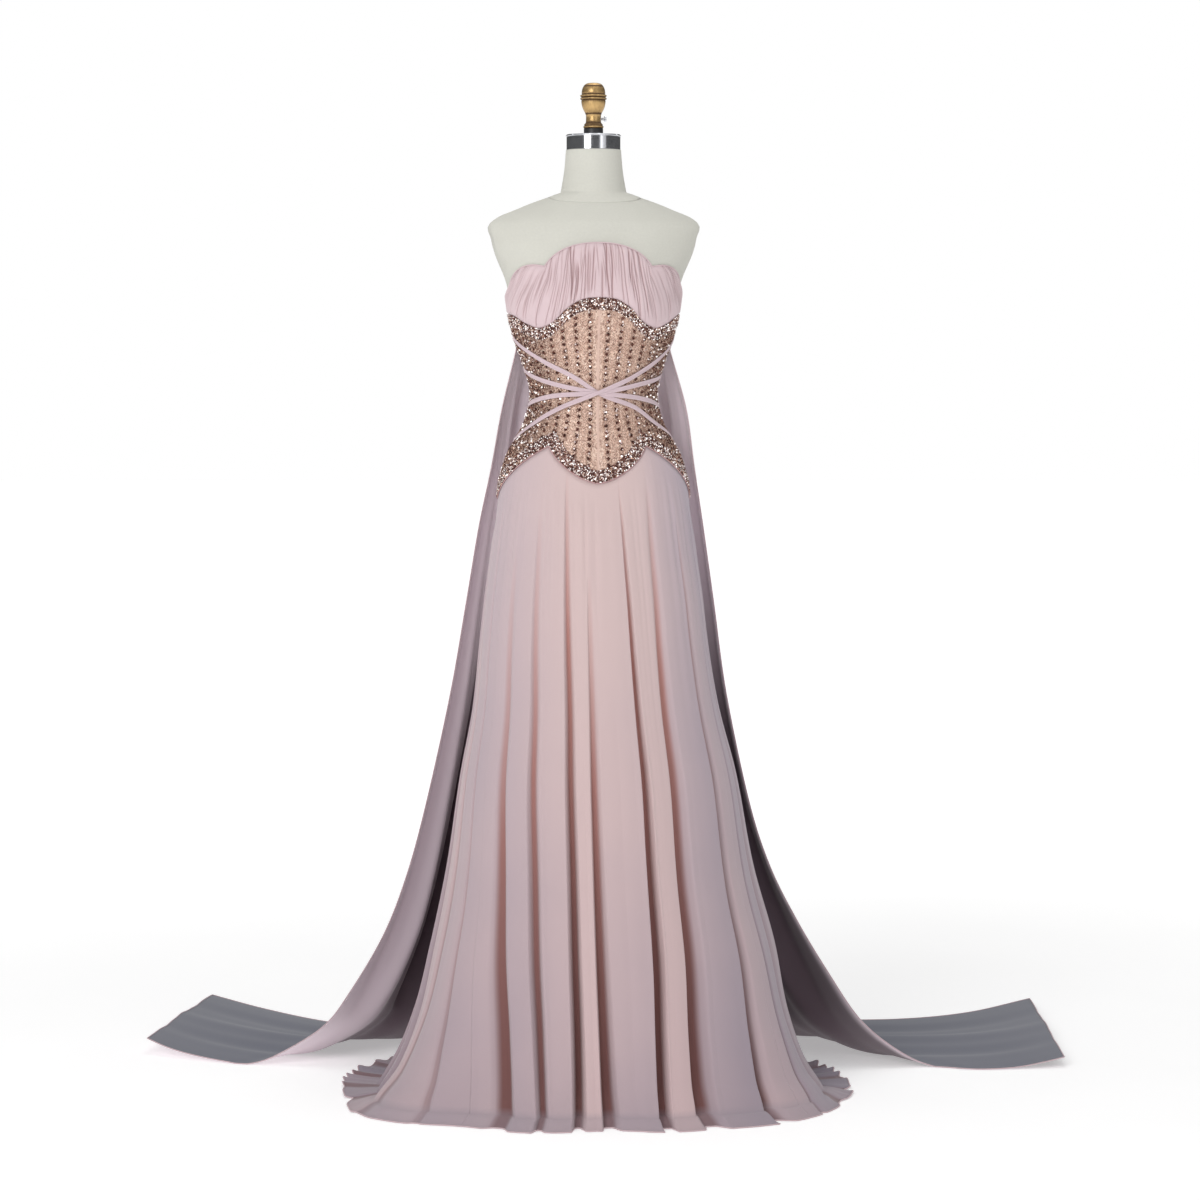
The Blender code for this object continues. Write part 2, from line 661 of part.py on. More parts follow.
def bodice_heights(angle):
    """The rows of the bodice, from its lower edge to the underbust seam."""
    low = low_edge(angle) + half_gap(low_edge, angle)
    trim_low = low + TRIM_LOW_WIDTH * steepness(low_edge, angle)
    high = underbust(angle) - half_gap(underbust, angle)
    trim_high = high - TRIM_TOP_WIDTH
    between = [trim_low + (trim_high - trim_low) * share for share in BODICE_ROWS]
    return np.array([low, trim_low, *between, trim_high, high])


def panel(name, start, end, heights, inner, outer, colour):
    """A wall on the body between two angles, with its corners on the facets' knots."""
    angles = around(start, end, KNOT)
    levels = heights(angles)
    grids = [parted(laid(body, angles[None], levels, out)) for out in (outer, inner)]
    return wall(name, *grids, colour)


def bust(name, start, end, split, rows):
    """The ruched bust: gathers on the outer face over a plain inner face."""
    angles = around(start, end, KNOT / split)
    low = underbust(angles) + half_gap(underbust, angles)
    high = neckline(angles)
    shares = np.array([0, *rows])[:, None]
    levels = low + (high - low) * shares
    ridge = (np.arange(len(angles)) % 2)[None] * np.sin(np.minimum(shares, 0.75) * math.pi)
    at_zip = eased((ZIP_FROM - np.abs(angles)) / ZIP_FADE)
    uneven = 0.85 + 0.15 * np.cos(np.arange(len(angles)) * 1.9)
    lift = GATHER_RISE * ridge * uneven * at_zip
    grids = []
    for out in (BUST_LIFT + CLOTH_WALL + lift, BUST_LIFT + 0 * lift):
        grid = laid(body, angles[None], levels, out)
        seam_out = CLOTH_WALL * (len(grids) == 0) + CLOTH_LIFT
        foot = laid(body, angles, levels[0], seam_out)
        grid[0] = straightened(foot, split)
        grids.append(parted(grid))
    return wall(name, *grids, "bust_chiffon")


def trims(name, start, end):
    """The two beaded bands, made from the bodice's own rows and moved out."""
    inner, outer = BODICE_OUT + LAY_GAP, BODICE_OUT + LAY_GAP + TRIM_WALL
    panel(
        f"trim_top_{name}", start, end, lambda a: bodice_heights(a)[-2:], inner, outer, "bead_trim"
    )
    panel(
        f"trim_low_{name}", start, end, lambda a: bodice_heights(a)[:2], inner, outer, "bead_trim"
    )


def on_bodice(angle, height, out):
    """A point on the bodice's facets, moved out."""
    low = math.floor(angle / KNOT) * KNOT
    share = (angle - low) / KNOT
    knots = np.array([low, low + KNOT], float)
    rows = bodice_heights(knots)
    sides = []
    for k in range(2):
        points = laid(body, knots[k], rows[:, k], out)
        sides.append(
            np.array([np.interp(height, rows[:, k], points[:, axis]) for axis in range(3)])
        )
    return sides[0] * (1 - share) + sides[1] * share


def crossing_band(name, waypoints, layer):
    """A narrow chiffon band that lies across the bodice and over the bands below it."""
    last_knot = 90 - KNOT
    angles = np.array([-BAND_END, *around(-last_knot, last_knot, KNOT), BAND_END])
    heights = curve(waypoints, "angle", "height", angles)
    slope = np.gradient(heights, np.radians(angles) * WAIST_R)
    lean = np.sqrt(1 + slope**2)
    stacked = 1 - eased((np.abs(angles) - STACK_FULL) / (STACK_END - STACK_FULL))
    lift = BODICE_OUT + BAND_LIFT + layer * BAND_STACK * stacked
    grids = []
    for extra in (BAND_WALL, 0):
        edges = []
        for side in (-1, 1):
            edges.append(
                [
                    on_bodice(a, h + side * BAND_WIDTH / 2 * stretch, out + extra)
                    for a, h, stretch, out in zip(angles, heights, lean, lift, strict=True)
                ]
            )
        grids.append(np.array(edges))
    return wall(name, *grids, "band_chiffon")


# ---------------------------------------------------------------- skirt and streamers


def gore(name, start, end):
    """One gore of the skirt, from its seam to the hem on the floor."""
    angles = around(start, end, KNOT / SKIRT_SPLIT)
    levels = np.array(SKIRT_LEVELS)[:, None]
    grids = []
    for depth in (0, CLOTH_WALL):
        grid = laid(skirt, angles[None], levels, -depth)
        top = low_edge(angles) - half_gap(low_edge, angles)
        grid[0] = straightened(laid(body, angles, top, BODICE_OUT - depth), SKIRT_SPLIT)
        grid[..., 2] = np.maximum(grid[..., 2], HEM_TOP - depth)
        grids.append(parted(grid))
    return wall(name, *grids, "skirt_chiffon")


def streamer(name, side, rows):
    """A panel sewn to the bodice's back, which hangs beside the skirt and lies on the floor."""
    share = np.linspace(0, 1, STREAMER_COLUMNS + 1)
    angles = side * (STREAMER_START + (STREAMER_END - STREAMER_START) * share)
    out = BODICE_OUT + 2 * LAY_GAP + CLOTH_WALL / 2
    grid = [
        laid(body, angles, np.full(len(share), height), out)
        for height in (STREAMER_TOP, STREAMER_TOP - STREAMER_SEWN)
    ]
    for row in rows:
        front = np.array([row.front_x, row.front_y, row.front_z])
        back = np.array([row.back_x, row.back_y, row.back_z])
        chord = back - front
        outward = np.array([side * chord[1], -side * chord[0], 0])
        outward /= np.linalg.norm(outward)
        flat = eased(1 - (front[2] + back[2]) / STREAMER_FLAT)
        way = outward * (1 - flat) + np.array([0, 0, 1]) * flat
        hump = row.bulge * 4 * share * (1 - share)
        wave = np.sin(math.tau * STREAMER_FOLDS * share) * np.minimum(share * 4, 1)
        move = hump + row.fold * (wave + flat * (1 - np.cos(math.tau * share)) * 0.5)
        points = front + chord * share[:, None] + way * move[:, None]
        grid.append(points)
    grid = np.array(grid)
    along = np.gradient(grid, axis=1)
    down = np.gradient(grid, axis=0)
    normal = np.cross(down, along) * side
    normal /= np.linalg.norm(normal, axis=-1, keepdims=True)
    faces = [grid + normal * CLOTH_WALL / 2, grid - normal * CLOTH_WALL / 2]
    lowest = np.minimum(faces[0][..., 2], faces[1][..., 2])
    lift = np.maximum(FLOOR_CLEAR - lowest, 0)
    for face in faces:
        face[..., 2] += lift
    return wall(name, *faces, "streamer_chiffon")


# ---------------------------------------------------------------- the zip's pull


def zip_pull():
    """The slider at the top of the centre back, and the tab that swings on its bail."""
    slider_top = SLIDER_HEIGHT + SLIDER_SIZE.z / 2
    cloth = float(body(180.0, slider_top)[1]) + BUST_LIFT + CLOTH_WALL
    plate_in = cloth + LAY_GAP
    plate_out = plate_in + SLIDER_SIZE.y
    plate_centre = Vector((0, (plate_in + plate_out) / 2, SLIDER_HEIGHT))
    slider = box("zip_slider", plate_centre, SLIDER_SIZE, "zip_metal")
    bail = box(
        "bail_guide",
        Vector((0, plate_out + (BAIL_RISE - BAIL_SUNK) / 2, SLIDER_HEIGHT)),
        Vector((BAIL_WIDTH, BAIL_RISE + BAIL_SUNK, BAIL_LENGTH)),
        "zip_metal",
    )
    opening = box(
        "bail_opening_guide",
        Vector((0, plate_out + BAIL_OPEN / 2, SLIDER_HEIGHT)),
        Vector((BAIL_WIDTH * 3, BAIL_OPEN, BAIL_OPEN)),
        "zip_metal",
    )
    joined(slider, bail, "UNION")
    joined(slider, opening, "DIFFERENCE")
    pivot = Vector((0, plate_out + BAIL_OPEN / 2, SLIDER_HEIGHT))
    tab = box(
        "zip_tab",
        Vector((0, 0, TAB_WALL / 2 - TAB_LENGTH / 2)),
        Vector((TAB_WIDTH, TAB_WALL, TAB_LENGTH)),
        "zip_metal",
    )
    tab.location = pivot
    window = box(
        "tab_window_guide",
        pivot - Vector((0, 0, TAB_WALL / 2 + TAB_WINDOW_LENGTH / 2)),
        Vector((TAB_WINDOW_WIDTH, TAB_WALL * 3, TAB_WINDOW_LENGTH)),
        "zip_metal",
    )
    joined(tab, window, "DIFFERENCE")


# ---------------------------------------------------------------- the whole


def build():
    for thing in list(bpy.data.objects):
        bpy.data.objects.remove(thing, do_unlink=True)
    dress_form()
    neck_hardware()
    stand()
    sides = (("front", -90, 90), ("back_right", 90, 180), ("back_left", -180, -90))
    for name, start, end in sides:
        front = name == "front"
        split = BUST_SPLIT if front else BUST_BACK_SPLIT
        bust(f"bust_{name}", start, end, split, BUST_ROWS if front else BUST_BACK_ROWS)
        panel(
            f"bodice_{name}", start, end, bodice_heights, CLOTH_LIFT, BODICE_OUT, "beaded_net"
        )
        trims(name, start, end)
    for layer, (name, waypoints) in enumerate(BANDS.items()):
        crossing_band(name, waypoints, layer)
    for piece in GORES:
        gore(piece.name, piece.start, piece.end)
    streamer("streamer_left", -1, STREAMER_LEFT)
    streamer("streamer_right", 1, STREAMER_RIGHT)
    zip_pull()


build()
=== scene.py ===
"""The look of a strapless a-line evening gown on a limbless dress form.

Metres, +Z up. The front faces -Y, and angles round the body run from centre front to the +X side.
"""

import math
from collections import namedtuple

import bmesh
import bpy
import numpy as np
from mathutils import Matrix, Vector


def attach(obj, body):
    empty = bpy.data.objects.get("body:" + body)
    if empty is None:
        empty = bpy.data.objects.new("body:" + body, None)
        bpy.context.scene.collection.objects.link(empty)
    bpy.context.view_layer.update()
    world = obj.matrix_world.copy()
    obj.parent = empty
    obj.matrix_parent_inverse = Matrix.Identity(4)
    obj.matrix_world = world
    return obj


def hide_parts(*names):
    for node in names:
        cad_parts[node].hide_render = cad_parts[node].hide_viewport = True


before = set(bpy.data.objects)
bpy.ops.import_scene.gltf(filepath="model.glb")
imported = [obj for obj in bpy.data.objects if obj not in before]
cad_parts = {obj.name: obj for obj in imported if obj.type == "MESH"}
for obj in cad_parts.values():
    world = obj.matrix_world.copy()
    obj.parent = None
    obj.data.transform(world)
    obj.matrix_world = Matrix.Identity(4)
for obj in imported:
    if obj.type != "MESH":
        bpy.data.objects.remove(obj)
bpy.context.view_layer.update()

scene = bpy.context.scene
scene.view_settings.view_transform = "Standard"

# ---------------------------------------------------------------- camera, light and floor
# The picture was taken from a little to the form's right, at waist height, with a long lens.
# A plain pale floor runs out to a white surround, under large soft lights.

CAMERA_PLACE, CAMERA_AIM = Vector((-0.572, -6.539, 1.260)), Vector((0.0115, -0.001, 0.870))
SENSOR_WIDTH, LENS = 36.0, 110.9  # both in mm
camera = bpy.data.objects.new("camera", bpy.data.cameras.new("camera"))
camera.data.sensor_width, camera.data.lens = SENSOR_WIDTH, LENS
camera.location = CAMERA_PLACE
camera.rotation_euler = (CAMERA_AIM - CAMERA_PLACE).to_track_quat("-Z", "Y").to_euler()
scene.collection.objects.link(camera)
scene.camera = camera

SoftLight = namedtuple("SoftLight", "name place size power")
LIGHT_AIM = Vector((0, 0, 0.8))  # about the middle of the gown
for soft in (
    SoftLight("key_light", (-2.4, -4.0, 2.9), 2.2, 99),
    SoftLight("fill_light", (3.2, -4.2, 2.2), 2.4, 12),
    SoftLight("top_light", (0.2, 0.4, 4.2), 2.2, 30),
):
    light = bpy.data.lights.new(soft.name, "AREA")
    light.size, light.energy = soft.size, soft.power
    lamp = bpy.data.objects.new(soft.name, light)
    lamp.location = soft.place
    lamp.rotation_euler = (LIGHT_AIM - lamp.location).to_track_quat("-Z", "Y").to_euler()
    scene.collection.objects.link(lamp)


class Wire:
    """A socket of a material, on which Python's arithmetic adds Math nodes."""

    def __init__(self, tree, socket=None):
        self.tree, self.socket = tree, socket

    def node(self, kind, settings=None, sockets=None, out=0):
        """A new node: its settings, then the values or links of its sockets; gives one output."""
        made = self.tree.nodes.new("ShaderNode" + kind)
        for key, value in (settings or {}).items():
            setattr(made, key, value)
        for key, value in (sockets or {}).items():
            if isinstance(value, Wire):
                self.tree.links.new(value.socket, made.inputs[key])
            else:
                made.inputs[key].default_value = value
        return Wire(self.tree, made.outputs[out])

    def maths(self, operation, a, b=0.0):
        return self.node("Math", {"operation": operation}, {0: a, 1: b})

    def __add__(self, other):
        return self.maths("ADD", self, other)

    __radd__ = __add__

    def __mul__(self, other):
        return self.maths("MULTIPLY", self, other)

    __rmul__ = __mul__

    def __sub__(self, other):
        return self.maths("SUBTRACT", self, other)

    def __rsub__(self, other):
        return self.maths("SUBTRACT", other, self)

    def __pow__(self, other):
        return self.maths("POWER", self, other)

    def __abs__(self):
        return self.maths("ABSOLUTE", self)

    def within(self, low, high):
        """0 below low, 1 above high, eased between."""
        return self.node(
            "MapRange",
            {"interpolation_type": "SMOOTHSTEP"},
            {"Value": self, "From Min": low, "From Max": high},
        )

    def mixed(self, first, second):
        """The first colour where this is 0, the second where it is 1."""
        pair = [c if isinstance(c, Wire) else (*c, 1) for c in (first, second)]
        return self.node("Mix", {"data_type": "RGBA"}, {0: self, 6: pair[0], 7: pair[1]}, 2)

    def mark(self, name):
        """A value that the piece's mesh carries at each point."""
        return self.node("Attribute", {"attribute_name": name}, out=2)

    def place(self):
        return self.node("TexCoord", out=3)

    def cloth_place(self):
        """Metres across and along the cloth, before it was hung."""
        return self.node("UVMap", {"uv_map": "cloth"})

    def noise(self, scale, detail=2.0, rough=0.5, at=None):
        at = at or self.place()
        return self.node(
            "TexNoise", {}, {"Vector": at, "Scale": scale, "Detail": detail, "Roughness": rough}
        )

    def raised(self, height, depth, strength=1.0):
        return self.node(
            "Bump", {}, {"Strength": strength, "Distance": depth, "Height": height}
        )


# The camera sees a white surround, which lights the gown softly. Polished metal and crystal
# mirror dark flats, two tall strip lights and a bright ceiling instead.
SURROUND_LIGHT = 0.50
FLAT_LIGHT, STRIP_LIGHT, CEILING_LIGHT = 0.10, 1.05, 0.7
STRIP_TURNS, STRIP_WIDTH = (-0.42, 0.52), 0.20  # radians from the front to each strip's middle
CEILING_FROM, CEILING_FULL = 0.3, 0.9  # how steeply up a ray goes, from 0 to 1
surround = bpy.data.worlds.new("surround")
surround.use_nodes = True
scene.world = surround
sky = Wire(surround.node_tree)
sideways_way, away, upward = (
    sky.node("SeparateXYZ", {}, {0: sky.node("TexCoord")}, out=axis) for axis in range(3)
)
turned_by = sky.maths("ARCTAN2", sideways_way, 0.0 - away)
strips = sum(1 - abs(turned_by - turn).within(0, STRIP_WIDTH) for turn in STRIP_TURNS)
ceiling = upward.within(CEILING_FROM, CEILING_FULL)
mirrored = FLAT_LIGHT + strips * STRIP_LIGHT + ceiling * CEILING_LIGHT
in_mirror = sky.node("LightPath", out="Is Glossy Ray")
to_camera = sky.node("LightPath", out="Is Camera Ray")
around_it = SURROUND_LIGHT + in_mirror * (mirrored - SURROUND_LIGHT)
brightness = around_it + to_camera * (1 - around_it)
background = sky.tree.nodes["Background"]
background.inputs["Color"].default_value = (1, 1, 1, 1)
sky.tree.links.new(brightness.socket, background.inputs["Strength"])


def colour(red, green, blue):
    """A colour as seen on a screen, from 0 to 255, as light."""
    seen = np.array([red, green, blue]) / 255
    return tuple(np.where(seen <= 0.04045, seen / 12.92, ((seen + 0.055) / 1.055) ** 2.4))


def finish(name, fixed, look):
    """A material with sockets that are the same all over, and those that look() works out."""
    made = bpy.data.materials.new(name)
    made.use_nodes = True
    shader = made.node_tree.nodes["Principled BSDF"]
    for socket, value in fixed.items():
        shader.inputs[socket].default_value = value
    for socket, wire in look(Wire(made.node_tree)).items():
        made.node_tree.links.new(wire.socket, shader.inputs[socket])
    return made


FLOOR_R, GLOW_FROM, GLOW_TO = 40.0, 0.8, 5.0  # the floor's edge; where its glow begins to grow


def floor_look(wire):
    """Pale paint that glows a little, and more further out, as a lit studio sweep does."""
    mottle = wire.noise(3.0)
    away_by = wire.node("VectorMath", {"operation": "LENGTH"}, {0: wire.place()}, out=1)
    far = away_by.within(GLOW_FROM, GLOW_TO)
    return {
        "Base Color": mottle.mixed((0.80, 0.80, 0.80), (0.84, 0.84, 0.84)),
        "Emission Color": far.mixed((0.34, 0.34, 0.34), (0.70, 0.70, 0.70)),
    }


def meshed(name, shape):
    """A mesh from a bmesh, which is then let go."""
    mesh = bpy.data.meshes.new(name)
    shape.to_mesh(mesh)
    shape.free()
    return mesh


def put(name, mesh, looks):
    """An object in the scene, with its materials."""
    for look in looks:
        mesh.materials.append(look)
    made = bpy.data.objects.new(name, mesh)
    scene.collection.objects.link(made)
    return made


floor_paint = finish("pale_floor", {"Roughness": 0.9, "Emission Strength": 1.0}, floor_look)
shape = bmesh.new()
bmesh.ops.create_circle(shape, cap_ends=True, segments=64, radius=FLOOR_R)
floor = put("floor", meshed("floor", shape), [floor_paint])

# ---------------------------------------------------------------- the form's torso and neck
# A papier-mache torso under tightly stretched ivory linen, cut off flat at the arms and hips.
# Its neck has its own linen cover, sewn on along a seam that dips at the front.

Section = namedtuple("Section", "height half_width front back")
FORM = [
    Section(0.860, 0.1500, 0.0940, 0.1080),
    Section(0.930, 0.1630, 0.1010, 0.1190),
    Section(1.000, 0.1680, 0.1030, 0.1230),
    Section(1.059, 0.1660, 0.1020, 0.1200),
    Section(1.089, 0.1620, 0.1000, 0.1140),
    Section(1.125, 0.1515, 0.0960, 0.1050),
    Section(1.159, 0.1335, 0.0910, 0.0950),
    Section(1.177, 0.1230, 0.0880, 0.0900),
    Section(1.200, 0.1150, 0.0850, 0.0840),
    Section(1.218, 0.1104, 0.0830, 0.0800),
    Section(1.238, 0.1090, 0.0825, 0.0780),
    Section(1.261, 0.1125, 0.0850, 0.0790),
    Section(1.284, 0.1200, 0.0890, 0.0810),
    Section(1.304, 0.1260, 0.0925, 0.0830),
    Section(1.321, 0.1330, 0.0970, 0.0850),
    Section(1.348, 0.1410, 0.1050, 0.0880),
    Section(1.375, 0.1465, 0.1130, 0.0910),
    Section(1.402, 0.1505, 0.1190, 0.0940),
    Section(1.429, 0.1540, 0.1200, 0.0970),
    Section(1.455, 0.1630, 0.1160, 0.0980),
    Section(1.482, 0.1730, 0.1080, 0.0980),
    Section(1.509, 0.1795, 0.0980, 0.0950),
    Section(1.5375, 0.1820, 0.0850, 0.0890),
    Section(1.548, 0.1675, 0.0800, 0.0850),
    Section(1.559, 0.1405, 0.0740, 0.0810),
    Section(1.570, 0.1145, 0.0680, 0.0750),
    Section(1.580, 0.0865, 0.0620, 0.0680),
    Section(1.590, 0.0575, 0.0575, 0.0575),
]
CUP_HEIGHT, CUP_SPREAD_UP, CUP_OUT, CUP_ANGLE, CUP_SPREAD = 1.408, 0.040, 0.011, 30, 21
ARM_PLATE_FROM, ARM_PLATE_TO, ARM_FLAT = 1.445, 1.510, 0.06


def spline(x, y, at):
    """A smooth curve through points y at places x, read at some places."""
    x, y = np.asarray(x, float), np.asarray(y, float)
    slope = np.gradient(y, x, axis=0)
    at = np.clip(np.asarray(at, float), x[0], x[-1])
    i = np.clip(np.searchsorted(x, at) - 1, 0, len(x) - 2)
    step = (x[i + 1] - x[i]).reshape(at.shape + (1,) * (y.ndim - 1))
    t = (at - x[i]).reshape(step.shape) / step
    rise = y[i + 1] - y[i]
    bend_in = slope[i] * step - rise
    bend_out = rise - slope[i + 1] * step
    return y[i] + t * rise + t * (1 - t) * ((1 - t) * bend_in + t * bend_out)


def curve(table, key, value, at):
    """One column of a table as a smooth curve over another column."""
    rows = sorted(table, key=lambda row: getattr(row, key))
    return spline([getattr(r, key) for r in rows], [getattr(r, value) for r in rows], at)


def either(choose, table, first, second, height):
    """At each height, a table's first column where choose holds, and its second elsewhere."""
    first, second = (curve(table, "height", column, height) for column in (first, second))
    return np.where(choose, first, second)


def eased(value, low=0, high=1):
    """0 up to low and 1 from high on, with level ends between them."""
    share = np.clip((value - low) / (high - low), 0, 1)
    return share * share * (3 - 2 * share)


def bell(off, power=2):
    """1 in the middle, and less the further off."""
    return np.exp(-(np.abs(off) ** power))


def stack(x, y, z):
    return np.stack(np.broadcast_arrays(x, y, z), axis=-1)


def body(angle, height):
    """The dress form's surface."""
    turn = np.radians(angle)
    wide = curve(FORM, "height", "half_width", height)
    forward = np.cos(turn)
    depth = either(forward > 0, FORM, "front", "back", height)
    round_cup = sum(bell((angle - side * CUP_ANGLE) / CUP_SPREAD) for side in (-1, 1))
    cup = CUP_OUT * round_cup * bell((height - CUP_HEIGHT) / CUP_SPREAD_UP)
    plate = 1 + ARM_FLAT * eased(height, ARM_PLATE_FROM, ARM_PLATE_TO)
    across = np.clip(wide * plate * np.sin(turn), -wide, wide)
    return stack(across, -depth * forward - cup, height)


def laid(surface, angle, level, out):
    """Points of a surface, moved out along its normal."""
    angle, level = np.broadcast_arrays(np.asarray(angle, float), np.asarray(level, float))
    turn, rise = 0.05, 0.0005  # the steps that the normal is found with
    along = surface(angle + turn, level) - surface(angle - turn, level)
    up = surface(angle, level + rise) - surface(angle, level - rise)
    normal = np.cross(along, up)
    normal /= np.maximum(np.linalg.norm(normal, axis=-1, keepdims=True), 1e-12)
    return surface(angle, level) + np.asarray(out, float)[..., None] * normal


def cloth(name, columns, rows, place, size, looks, thick=0.0, closed=False):
    """A panel: a grid that place() moves, in metres of size, with its thickness inside.

    place() takes how far across and how far up each point is, from 0 to 1, and gives the points
    and the values that the mesh carries for its material.
    """
    shape = bmesh.new()
    bmesh.ops.create_grid(shape, x_segments=columns, y_segments=rows, size=0.5)
    mesh = meshed(name, shape)
    flat = np.empty(3 * len(mesh.vertices), np.float32)
    mesh.vertices.foreach_get("co", flat)
    across, up = (flat.reshape(-1, 3)[:, :2].astype(float) + 0.5).T
    points, marks = place(across, up)
    mesh.vertices.foreach_set("co", points.astype(np.float32).ravel())
    for mark, values in marks.items():
        values = np.broadcast_to(values, across.shape).astype(np.float32)
        mesh.attributes.new(mark, "FLOAT", "POINT").data.foreach_set("value", values)
    corner = np.empty(len(mesh.loops), np.int32)
    mesh.loops.foreach_get("vertex_index", corner)
    flat_cut = np.stack([across * size[0], up * size[1]], -1)[corner].astype(np.float32)
    mesh.uv_layers.new(name="cloth").data.foreach_set("uv", flat_cut.ravel())
    if closed:
        shape = bmesh.new()
        shape.from_mesh(mesh)
        bmesh.ops.remove_doubles(shape, verts=shape.verts, dist=1e-6)
        bmesh.ops.holes_fill(shape, edges=[e for e in shape.edges if e.is_boundary], sides=0)
        shape.to_mesh(mesh)
        shape.free()
    mesh.shade_smooth()
    piece = put(name, mesh, looks)
    if thick:
        wall = piece.modifiers.new("thickness", "SOLIDIFY")
        wall.thickness, wall.offset = thick, -1.0
        wall.material_offset = len(looks) - 1
    return piece


def linen_look(wire):
    """Plain-woven ivory linen: warp and weft with uneven threads, and a soft mottle."""
    at = wire.cloth_place()
    warp = wire.node("TexWave", {"bands_direction": "X"}, {"Vector": at, "Scale": 380.0})
    weft = wire.node("TexWave", {"bands_direction": "Y"}, {"Vector": at, "Scale": 380.0})
    slubs = wire.noise(240.0, 3.0, at=at)
    mottle = wire.noise(9.0, 3.0)
    centre = wire.mark("seam")
    tone = (mottle * 0.6 + slubs * 0.4).within(0.3, 0.7)
    pale = tone.mixed(colour(200, 199, 190), colour(207, 206, 197))
    weave = warp * weft + slubs * 0.7 - centre * 1.2
    return {
        "Base Color": (centre * 0.22).mixed(pale, colour(176, 174, 164)),
        "Normal": wire.raised(weave, 0.0004, 0.5),
        "Roughness": 0.86 + tone * 0.08,
    }


linen = finish("linen", {"Specular IOR Level": 0.25, "Sheen Weight": 0.08}, linen_look)
TORSO_COLUMNS, ROWS_TO_A_SECTION, TORSO_LINEN = 180, 4, (0.9, 0.78)
SEAM_WIDTH, BACK_R = 0.0016, 0.1  # the seam at centre back, and the form's radius there


def torso_place(across, up):
    angle = 360 * across - 180
    at = up * (len(FORM) - 1)
    height = np.interp(at, np.arange(len(FORM)), [row.height for row in FORM])
    off = np.radians(180 - np.abs(angle)) * BACK_R
    return body(angle, height), {"seam": bell(off / SEAM_WIDTH)}


torso = cloth(
    "form_torso_linen", TORSO_COLUMNS, (len(FORM) - 1) * ROWS_TO_A_SECTION,
    torso_place, TORSO_LINEN, [linen], closed=True,
)
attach(torso, "gown")
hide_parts("form_torso")

Ring = namedtuple("Ring", "radius height")
NECK = [Ring(0.0575, 1.5903), Ring(0.05125, 1.6280), Ring(0.0480, 1.6657)]
NECK_SEAM_SIDE, NECK_SEAM_DIP, NECK_COVER = 1.5845, 0.0145, 0.0007
FORM_TOP, NECK_FROM, NECK_EASE = 1.5899, 1.586, 0.012  # the neck grows out of the shoulders
NECK_COLUMNS, NECK_ROWS, NECK_LINEN, NECK_SEAM = 144, 48, (0.34, 0.09), 0.02


def neck_surface(angle, height):
    radius = curve(NECK, "height", "radius", height)
    turn = np.radians(angle)
    round_neck = stack(radius * np.sin(turn), -radius * np.cos(turn), height)
    share = eased((height - NECK_FROM) / NECK_EASE)[..., None]
    return body(angle, np.minimum(height, FORM_TOP)) * (1 - share) + round_neck * share


def neck_place(across, up):
    angle = 360 * across - 180
    dip = NECK_SEAM_DIP * np.clip(np.cos(np.radians(angle)), 0, 1) ** 1.5
    low = NECK_SEAM_SIDE - dip
    height = low + (NECK[-1].height - low) * up
    edge = bell(up / NECK_SEAM)
    return laid(neck_surface, angle, height, NECK_COVER * (1 - edge)), {"seam": edge * 0.8}


neck = cloth(
    "form_neck_linen", NECK_COLUMNS, NECK_ROWS, neck_place, NECK_LINEN, [linen], closed=True
)
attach(neck, "gown")
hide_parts("form_neck")

# ---------------------------------------------------------------- cap, collar, finial and screw
# A polished chrome cap with a rolled rim and four small rivets closes the neck. On it a black
# plastic collar carries a turned finial of aged brass, held by a knurled chrome thumb screw.

ROUND_SIDES, SHARP_TURN = 96, 40  # steps round a turned piece; degrees at which an edge is sharp


def hard_piece(name, mesh, look, body_name, node=None):
    """A piece of metal or plastic that rides on a body, and the node that it stands for."""
    piece = put(name, mesh, [look])
    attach(piece, body_name)
    if node:
        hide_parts(node)
    return piece


def turned(name, rings, look, node):
    """A piece turned about Z from rings, bottom to top, with closed ends."""
    shape = bmesh.new()
    line = [Ring(0, rings[0].height), *rings, Ring(0, rings[-1].height)]
    points = [shape.verts.new((ring.radius, 0, ring.height)) for ring in line]
    edges = [shape.edges.new(pair) for pair in zip(points, points[1:], strict=False)]
    bmesh.ops.spin(
        shape, geom=points + edges, cent=(0, 0, 0), axis=(0, 0, 1), angle=math.tau,
        steps=ROUND_SIDES, use_merge=True,
    )
    bmesh.ops.remove_doubles(shape, verts=shape.verts, dist=1e-6)
    bmesh.ops.recalc_face_normals(shape, faces=shape.faces)
    mesh = meshed(name, shape)
    mesh.shade_smooth()
    mesh.set_sharp_from_angle(angle=math.radians(SHARP_TURN))
    return hard_piece(name, mesh, look, "gown", node)


def bead_roll(radius, height, size, steps=7):
    """A half-round moulding on a turned piece."""
    turns = [math.pi * (k / (steps - 1) - 0.5) for k in range(steps)]
    return [Ring(radius + size * math.cos(a), height + size * math.sin(a)) for a in turns]


def chrome_look(wire):
    """Polished plate with faint turning marks, dull in patches from handling."""
    marks = wire.node(
        "TexWave", {"bands_direction": "Z"},
        {"Vector": wire.place(), "Scale": 900.0, "Distortion": 1.0},
    )
    smears = wire.noise(40.0, 3.0)
    return {
        "Base Color": smears.mixed((0.58, 0.59, 0.62), (0.68, 0.69, 0.72)),
        "Roughness": 0.10 + smears * 0.10,
        "Normal": wire.raised(marks, 0.00002, 0.06),
    }


def grained(scale, dark, pale, rough, spread, depth):
    """Paint or plastic with a fine, uneven grain."""

    def look(wire):
        grain = wire.noise(scale, 3.0)
        return {
            "Base Color": grain.mixed(dark, pale),
            "Roughness": rough + grain * spread,
            "Normal": wire.raised(grain, depth, 0.4),
        }

    return look


